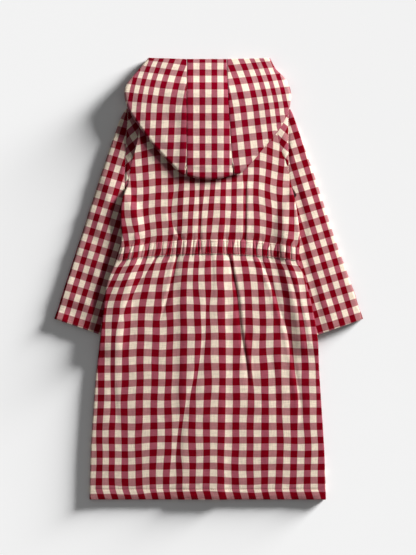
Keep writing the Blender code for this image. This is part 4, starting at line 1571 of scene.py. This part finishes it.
LEFT_HOOD = (
    HoodRow(439.5, -120.5, 442, -3.0, 332, -62, 387),
    HoodRow(424, -137.5, 421.5, -30.0, 334, -46, 392),
    HoodRow(408, -152.0, 404.5, -56.0, 340, -58, 396),
    HoodRow(392, -163.5, 390, -85.0, 375.5, -63, 393),
    HoodRow(376, -168.5, 376, -84.0, 378.5, -128, 379),
    HoodRow(360, -167.5, 358, -72.0, 367, -118, 364),
    HoodRow(340, -159.5, 335, -58.0, 363, -107, 350),
    HoodRow(315, -139.0, 304, -44.0, 361, -91, 333),
    HoodRow(290, -111.0, 266, -44.0, 330, -77, 298),
    HoodRow(264, -80.5, 233, -44.0, 296, -62, 264),
    HoodRow(238, -58.0, 211, -44.0, 258, -51, 234),
)
RIGHT_FOLDS = ((122.5, 441.5), (134.5, 419), (151, 402), (160.5, 386), (164.5, 371), (164, 355),
               (159.5, 334), (141, 298), (113.5, 265), (86, 232), (64, 211))


@dataclass(frozen=True)
class HoodForm:
    """Sizes shared by the hood's two sides and its centre strip."""

    crown_y: float = 197.5
    crown_round: float = 8.5
    crown_half: float = 46.0
    crown_turn: float = 15.0
    strip_left: float = -44.0
    strip_right: SmoothCurve = SmoothCurve([(439.5, 36.0), (361, 39.0), (264, 45.0), (197.5, 48.0)])
    seam: float = 0.5
    crown_ease: float = 1.7
    layer: float = HOOD_CLOTH + 3.4
    on_back: float = CLOTH / 2 + AIR + HOOD_CLOTH / 2
    face_layer: float = HOOD_CLOTH + 2.2
    on_floor: int = 4
    bridge_y: tuple[float, float, float] = (377.0, 396.0, 434.0)
    bridge_height: float = 3.5
    strip_under_from: int = 7
    neck_ease: float = 2.0
    top_y: tuple[float, float] = (418.0, 368.0)
    plump: float = 2.2
    seam_dip: float = 0.35
    dip_width: float = 2.0

    def crown_fold(self, x: float) -> float:
        """y of the fold at the crown, at a place across the strip."""
        return self.crown_y + self.crown_round * (x / self.crown_half) ** 2

    def swell(self, distance: Array, y: Array) -> Array:
        """How far the padded cloth swells, at a distance from its nearest seam."""
        return self.plump * (1 - self.seam_dip * bell(distance, self.dip_width)) * ramp(y, 441, 415)

    def under_height(self, x: Array, y: Array, row: float) -> Array:
        """Middle of the under side: on the surface by the face, and on the back elsewhere.

        Args:
            x: places across the gown.
            y: places along the gown.
            row: place between the rows of the hood's table.

        Returns:
            the height.
        """
        on_back = FORM.back_height(x, np.minimum(y, 350)) + self.on_back
        low, highest, high = self.bridge_y
        on_floor = HOOD_CLOTH / 2 + self.bridge_height * ramp(y, low, highest) * ramp(y, high, highest)
        share = min(1.0, max(0.0, row - (self.on_floor - 1)))
        return on_floor * (1 - share) + on_back * share

    def top_height(self, x: Array, y: Array) -> Array:
        """Middle of the top layer.

        Args:
            x: places across the gown.
            y: places along the gown.

        Returns:
            the height.
        """
        low = HOOD_CLOTH / 2 + self.face_layer
        high = FORM.back_height(x, np.minimum(y, 350)) + self.on_back + self.layer
        return low + (high - low) * ramp(y, *self.top_y)


HOOD = HoodForm()


def hood_line(start: Array, fold: Array, bend: Array, end: Array, row: float, tops: int, unders: int,
              puff: Callable[[Array, Array], Array]) -> tuple[Array, Array]:
    """Points of one line of the hood, from its seam on top, round the fold, to its seam beneath.

    Args:
        start: plan point at the top seam.
        fold: plan point of the outer fold.
        bend: plan point that the under side heads for first.
        end: plan point of the seam beneath.
        row: which row of the table the line is, with its fraction.
        tops: points on the top layer.
        unders: points on the under layer.
        puff: extra height of the top layer at a plan place.

    Returns:
        the points and their places on the unfolded cloth.
    """
    into = (start - fold) / np.linalg.norm(start - fold)
    top_z = float(HOOD.top_height(*(fold + into * HOOD.layer / 2)))
    under_z = float(HOOD.under_height(*fold, row))
    radius = (top_z - under_z) / 2
    centre = fold + into * (HOOD_CLOTH / 2 + radius)
    share = np.linspace(0, 1, tops + 1)[:-1, None]
    top = start[None] * (1 - share) + centre[None] * share
    length = float(np.linalg.norm(centre - start))
    rounding = ramp(1 - share[:, 0], 0.0, min(1.0, 22.0 / length))
    top_points = np.column_stack([top, HOOD.top_height(*top.T) + puff(*top.T) * rounding])
    angles = np.radians(np.linspace(90, -90, 15))
    turned = centre[None] - into[None] * radius * np.cos(angles)[:, None]
    turn_points = np.column_stack([turned, under_z + radius * (1 + np.sin(angles))])
    turn_flat = centre[None] - into[None] * (radius * (math.pi / 2 - angles))[:, None]
    t = np.linspace(0, 1, unders + 1)[1:, None]
    under = centre[None] * (1 - t) ** 2 + bend[None] * 2 * t * (1 - t) + end[None] * t ** 2
    under_points = np.column_stack([under, HOOD.under_height(*under.T, row)])
    past = math.pi * radius + np.linalg.norm(under - centre[None], axis=1)
    under_flat = centre[None] - into[None] * past[:, None]
    return (np.concatenate([top_points, turn_points, under_points]),
            np.concatenate([top, turn_flat, under_flat]))


@dataclass(frozen=True)
class HoodPattern:
    """How the gingham lies on a side of the hood."""

    rows: SmoothCurve  # row count at the strip's seam
    rise: SmoothCurve  # slope of the rows, by height
    lean_y: float = 330.0
    lean: tuple[float, float] = (0.05, 0.00175)  # how the columns lean and bend in towards the face
    places: SmoothCurve = SmoothCurve([(-20, -0.5), (4, 0.5), (29, 1.5), (55, 2.5), (77, 3.5), (96.5, 4.5),
                                       (115, 5.5), (134, 6.5), (200, 10.0), (300, 15.0)])

    def checks(self, distance: Array, y: Array) -> Array:
        """Places on the gingham at a distance from the seam and a height.

        Args:
            distance: how far the place lies from the seam.
            y: places along the gown.

        Returns:
            the places on the gingham, in repeats.
        """
        over = y - self.lean_y
        drawn_in = self.lean[1] * np.maximum(0.0, over) ** 2 + self.lean[0] * over
        columns = self.places(distance + drawn_in)
        return np.stack([columns, self.rows(y - self.rise(y) * distance)], axis=-1)


HOOD_PATTERNS = {
    Side.LEFT: HoodPattern(
        SmoothCurve([(500, -2.0), (431.5, 0.5), (407.5, 1.5), (380.5, 2.5), (323, 4.5), (265, 6.5),
                     (210, 8.5), (150, 10.7)]),
        SmoothCurve([(440, 0.14), (400, 0.13), (357, 0.08), (329, 0.01), (240, 0.0)])),
    Side.RIGHT: HoodPattern(
        SmoothCurve([(500, -2.4), (419, 0.5), (391, 1.5), (362, 2.5), (306, 4.5), (247, 6.5), (217, 7.5),
                     (150, 10.0)]),
        SmoothCurve([(440, 0.10), (340, 0.12), (240, 0.13)])),
}


@dataclass
class HoodSide:
    """One side of the hood, from the strip's seam round the outer fold to the neck."""

    side: Side
    tops: int = 60
    unders: int = 18
    handling: Unevenness = Unevenness(31, 0.35, 26.0, 80.0)

    @property
    def name(self) -> str:
        """Name of the piece and its node."""
        return "hood_side_" + self.side.name.lower()

    def seam_x(self, y: float) -> float:
        """x of the strip's seam at a height."""
        edge = HOOD.strip_left if self.side is Side.LEFT else float(HOOD.strip_right(y))
        return edge + self.side.value * HOOD.seam / 2

    def table(self) -> Array:
        """Rows of start, fold, bend and end points, the crown's line last.

        Returns:
            rows of eight values.
        """
        rows = []
        mirrored = -self.side.value
        for number, row in enumerate(LEFT_HOOD):
            fold = (row.fold_x, row.fold_y) if self.side is Side.LEFT else RIGHT_FOLDS[number]
            under_x, under_y = row.under_x * mirrored, row.under_y
            if number < HOOD.on_floor - 1:
                under_y = float(FORM.row_y(SHOULDER_Y, under_x, FORM.front_neck_rise)) + HOOD.neck_ease
            elif number >= HOOD.strip_under_from:
                under_x = self.seam_x(row.under_y)
            rows.append((self.seam_x(row.seam_y), row.seam_y, *fold, row.bend_x * mirrored, row.bend_y,
                         under_x, under_y))
        x = self.seam_x(HOOD.crown_y) + self.side.value * HOOD.crown_ease
        fold_y = HOOD.crown_fold(x)
        last = fold_y + HOOD.crown_turn
        rows.append((x, last, x, fold_y, x, last + 3, x, last + 10))
        return np.array(rows)

    def puff(self, x: Array, y: Array) -> Array:
        """How far the padded side swells above its plateau."""
        distance = np.abs(x - self.seam_x(0)) if self.side is Side.LEFT else x - HOOD.strip_right(y)
        return HOOD.swell(distance, y) + self.handling(x, y)

    def build(self, finish: bpy.types.Material) -> bpy.types.Object:
        """Builds and dresses this side of the hood.

        Args:
            finish: the cloth's material.

        Returns:
            the finished object.
        """
        table = self.table()
        index = np.arange(len(table))
        curves = [SmoothCurve(list(enumerate(table[:, k]))) for k in range(4)]
        lines = []
        for t in stations((0, len(table) - 1, 0.1)):
            start_fold = np.array([float(curve(t)) for curve in curves])
            bend_end = np.array([np.interp(t, index, table[:, k]) for k in range(4, 8)])
            lines.append(hood_line(start_fold[:2], start_fold[2:], bend_end[:2], bend_end[2:],
                                   t, self.tops, self.unders, self.puff))
        points, flat = (np.array(grid) for grid in zip(*lines))
        seam = HOOD.strip_left if self.side is Side.LEFT else HOOD.strip_right(flat[..., 1])
        distance = self.side.value * (flat[..., 0] - seam)
        checks = HOOD_PATTERNS[self.side].checks(distance, flat[..., 1])
        piece = cloth_piece(self.name + "_cloth", points, checks, HOOD_CLOTH, Edges.ALL)
        dressed(piece, finish, self.name)
        return piece


@dataclass
class HoodStrip:
    """The centre strip, from the face opening over the crown's fold and back under to the nape."""

    across: int = 44
    top_steps: int = 76
    under_steps: int = 40
    face_y: float = 439.5
    nape_y: float = 361.0
    first_column_x: float = -36.5
    column: float = 24.0
    rows: SmoothCurve = SmoothCurve([(437.5, 0.5), (411, 1.5), (383.5, 2.5), (322, 4.5), (262, 6.5),
                                     (205, 8.5), (150, 10.5), (20, 15)])

    def puff(self, x: Array, y: Array) -> Array:
        """How far the padded strip swells between its seams."""
        return HOOD.swell(np.minimum(x - HOOD.strip_left, HOOD.strip_right(y) - x), y)

    def line_x(self, share: float, y: Array) -> Array:
        """x of a line down the strip at a height."""
        left, right = HOOD.strip_left + HOOD.seam / 2, HOOD.strip_right(y) - HOOD.seam / 2
        return left + (right - left) * share

    def line(self, share: float) -> tuple[Array, Array]:
        """One line from the face over the crown's fold to the nape, and its places on the unfolded cloth.

        Args:
            share: place across the strip, from 0 to 1.

        Returns:
            the points and their places on the unfolded cloth.
        """
        x = float(self.line_x(share, HOOD.crown_y))
        fold_y = HOOD.crown_fold(x)
        last = fold_y + HOOD.crown_turn
        y = np.linspace(self.face_y, last + 1, self.top_steps)
        top_x = self.line_x(share, y)
        swell = self.puff(top_x, y) * ramp(y, last, last + 12)
        top = np.column_stack([top_x, y, HOOD.top_height(top_x, y) + swell])
        turn, turn_flat = hood_line(np.array((x, last)), np.array((x, fold_y)), np.array((x, last + 3)),
                                    np.array((x, last + 10)), len(LEFT_HOOD), 4, 5, lambda a, b: a * 0)
        under_y = np.linspace(last + 11, self.nape_y, self.under_steps)
        under_x = self.line_x(share, under_y)
        under = np.column_stack([under_x, under_y, HOOD.under_height(under_x, under_y, len(LEFT_HOOD))])
        under_flat = np.column_stack([under_x, fold_y - (under_y - fold_y) - 12])
        return np.concatenate([top, turn, under]), np.concatenate([top[:, :2], turn_flat, under_flat])

    def build(self, finish: bpy.types.Material) -> bpy.types.Object:
        """Builds and dresses the strip.

        Args:
            finish: the cloth's material.

        Returns:
            the finished object.
        """
        lines = [self.line(share) for share in np.linspace(0, 1, self.across)[::-1]]
        points, flat = (np.array(grid) for grid in zip(*lines))
        columns = (flat[..., 0] - self.first_column_x) / self.column + 0.5
        checks = np.stack([columns, self.rows(flat[..., 1])], axis=-1)
        strip = cloth_piece("hood_strip_cloth", points, checks, HOOD_CLOTH, Edges.ALL)
        dressed(strip, finish, "hood_strip")
        return strip


# -------------------------------------------------------------------------------------------- studio
@dataclass(frozen=True)
class Studio:
    """Pale floor, soft lights and the camera straight above."""

    camera_height: float = 4.64
    lens: float = 150.0
    aim: tuple[float, float] = (-0.0015, 0.002)
    floor_size: float = 14.0
    low_size: float = 2.2
    low_power: float = 3760.0
    high_place: tuple[float, float, float] = (1.85, 1.66, 1.40)
    high_size: float = 1.4
    high_power: float = 162.0
    room_light: float = 0.16

    def camera(self) -> None:
        """Places the camera and makes it the scene's own."""
        data = bpy.data.cameras.new("camera")
        data.lens = self.lens
        data.sensor_width = 36.0
        data.clip_end = 100.0
        camera = bpy.data.objects.new("camera", data)
        camera.location = (*self.aim, self.camera_height)
        bpy.context.scene.collection.objects.link(camera)
        bpy.context.scene.camera = camera

    def floor(self) -> bpy.types.Object:
        """Lays the floor.

        Returns:
            the floor.
        """
        bpy.ops.object.select_all(action="DESELECT")
        bpy.ops.mesh.primitive_plane_add(size=self.floor_size)
        floor = bpy.context.object
        floor.name = "studio_floor"
        floor.data.materials.append(StudioFloor().material())
        return floor

    def light(self, name: str, place: tuple[float, float, float], size: float,
              power: float) -> bpy.types.Object:
        """Hangs a square soft box that looks at the gown.

        Args:
            name: the lamp's name.
            place: where it hangs, in metres.
            size: side of its square.
            power: in watts.

        Returns:
            the lamp.
        """
        data = bpy.data.lights.new(name, "AREA")
        data.size = size
        data.energy = power
        lamp = bpy.data.objects.new(name, data)
        lamp.location = place
        lamp.rotation_euler = (-Vector(place)).to_track_quat("-Z", "Y").to_euler()
        bpy.context.scene.collection.objects.link(lamp)
        return lamp

    def lit(self, name: str, low_lit: Sequence[bpy.types.Object], state: str) -> bpy.types.Collection:
        """Names what a light shines on, as a flag beside the lamp would part it.

        Args:
            name: the collection's name.
            low_lit: the pieces in the low light.
            state: INCLUDE to light these alone, and EXCLUDE to light all else.

        Returns:
            the collection.
        """
        chosen = bpy.data.collections.new(name)
        for piece in low_lit:
            chosen.objects.link(piece)
        for entry in chosen.collection_objects:
            entry.light_linking.link_state = state
        return chosen

    def room(self) -> None:
        """Fills the room with even light."""
        world = bpy.data.worlds.new("studio")
        world.use_nodes = True
        walls = world.node_tree.nodes["Background"]
        walls.inputs["Color"].default_value = (1.0, 1.0, 1.0, 1.0)
        walls.inputs["Strength"].default_value = self.room_light
        bpy.context.scene.world = world

    def build(self, shaded: bpy.types.Object) -> None:
        """Lights and floors the scene.

        Args:
            shaded: the piece on the far side of the gown, which lies in the same low light as the floor.
        """
        low_lit = (self.floor(), shaded)
        low = self.light("floor_key", FLOOR_KEY, self.low_size, self.low_power)
        low.light_linking.receiver_collection = self.lit("low_lit", low_lit, "INCLUDE")
        high = self.light("gown_key", self.high_place, self.high_size, self.high_power)
        high.light_linking.receiver_collection = self.lit("high_lit", low_lit, "EXCLUDE")
        self.room()
        view = bpy.context.scene.view_settings
        view.view_transform = "Standard"
        view.look = "None"


def main() -> None:
    """Builds the gown piece by piece, then the studio."""
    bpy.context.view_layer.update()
    studio = Studio()
    studio.camera()
    body = Gingham("body_gingham").material()
    sleeves = Gingham("sleeve_gingham").material()
    hood = Gingham("hood_gingham", crimson=(0.195, 0.0001, 0.0095, 1.0), mauve=(0.355, 0.094, 0.125, 1.0),
                   dusty=(0.42, 0.196, 0.200, 1.0)).material()
    band = Gingham("tunnel_gingham").material()
    back = Back()
    pieces = [back.build(body), WaistTunnel().build(band, back)]
    pieces += [Front(side).build(body) for side in (Side.RIGHT, Side.LEFT)]
    left_sleeve, right_sleeve = (Sleeve(side).build(sleeves) for side in Side)
    pieces += [left_sleeve, right_sleeve]
    pieces += [HoodSide(side).build(hood) for side in Side]
    pieces.append(HoodStrip().build(hood))
    for piece in pieces:
        log.info("%s: %d faces", piece.name, len(piece.data.polygons))
    studio.build(shaded=left_sleeve)


if __name__ == "__main__":
    logging.basicConfig(level=logging.INFO, format="%(message)s")
    main()
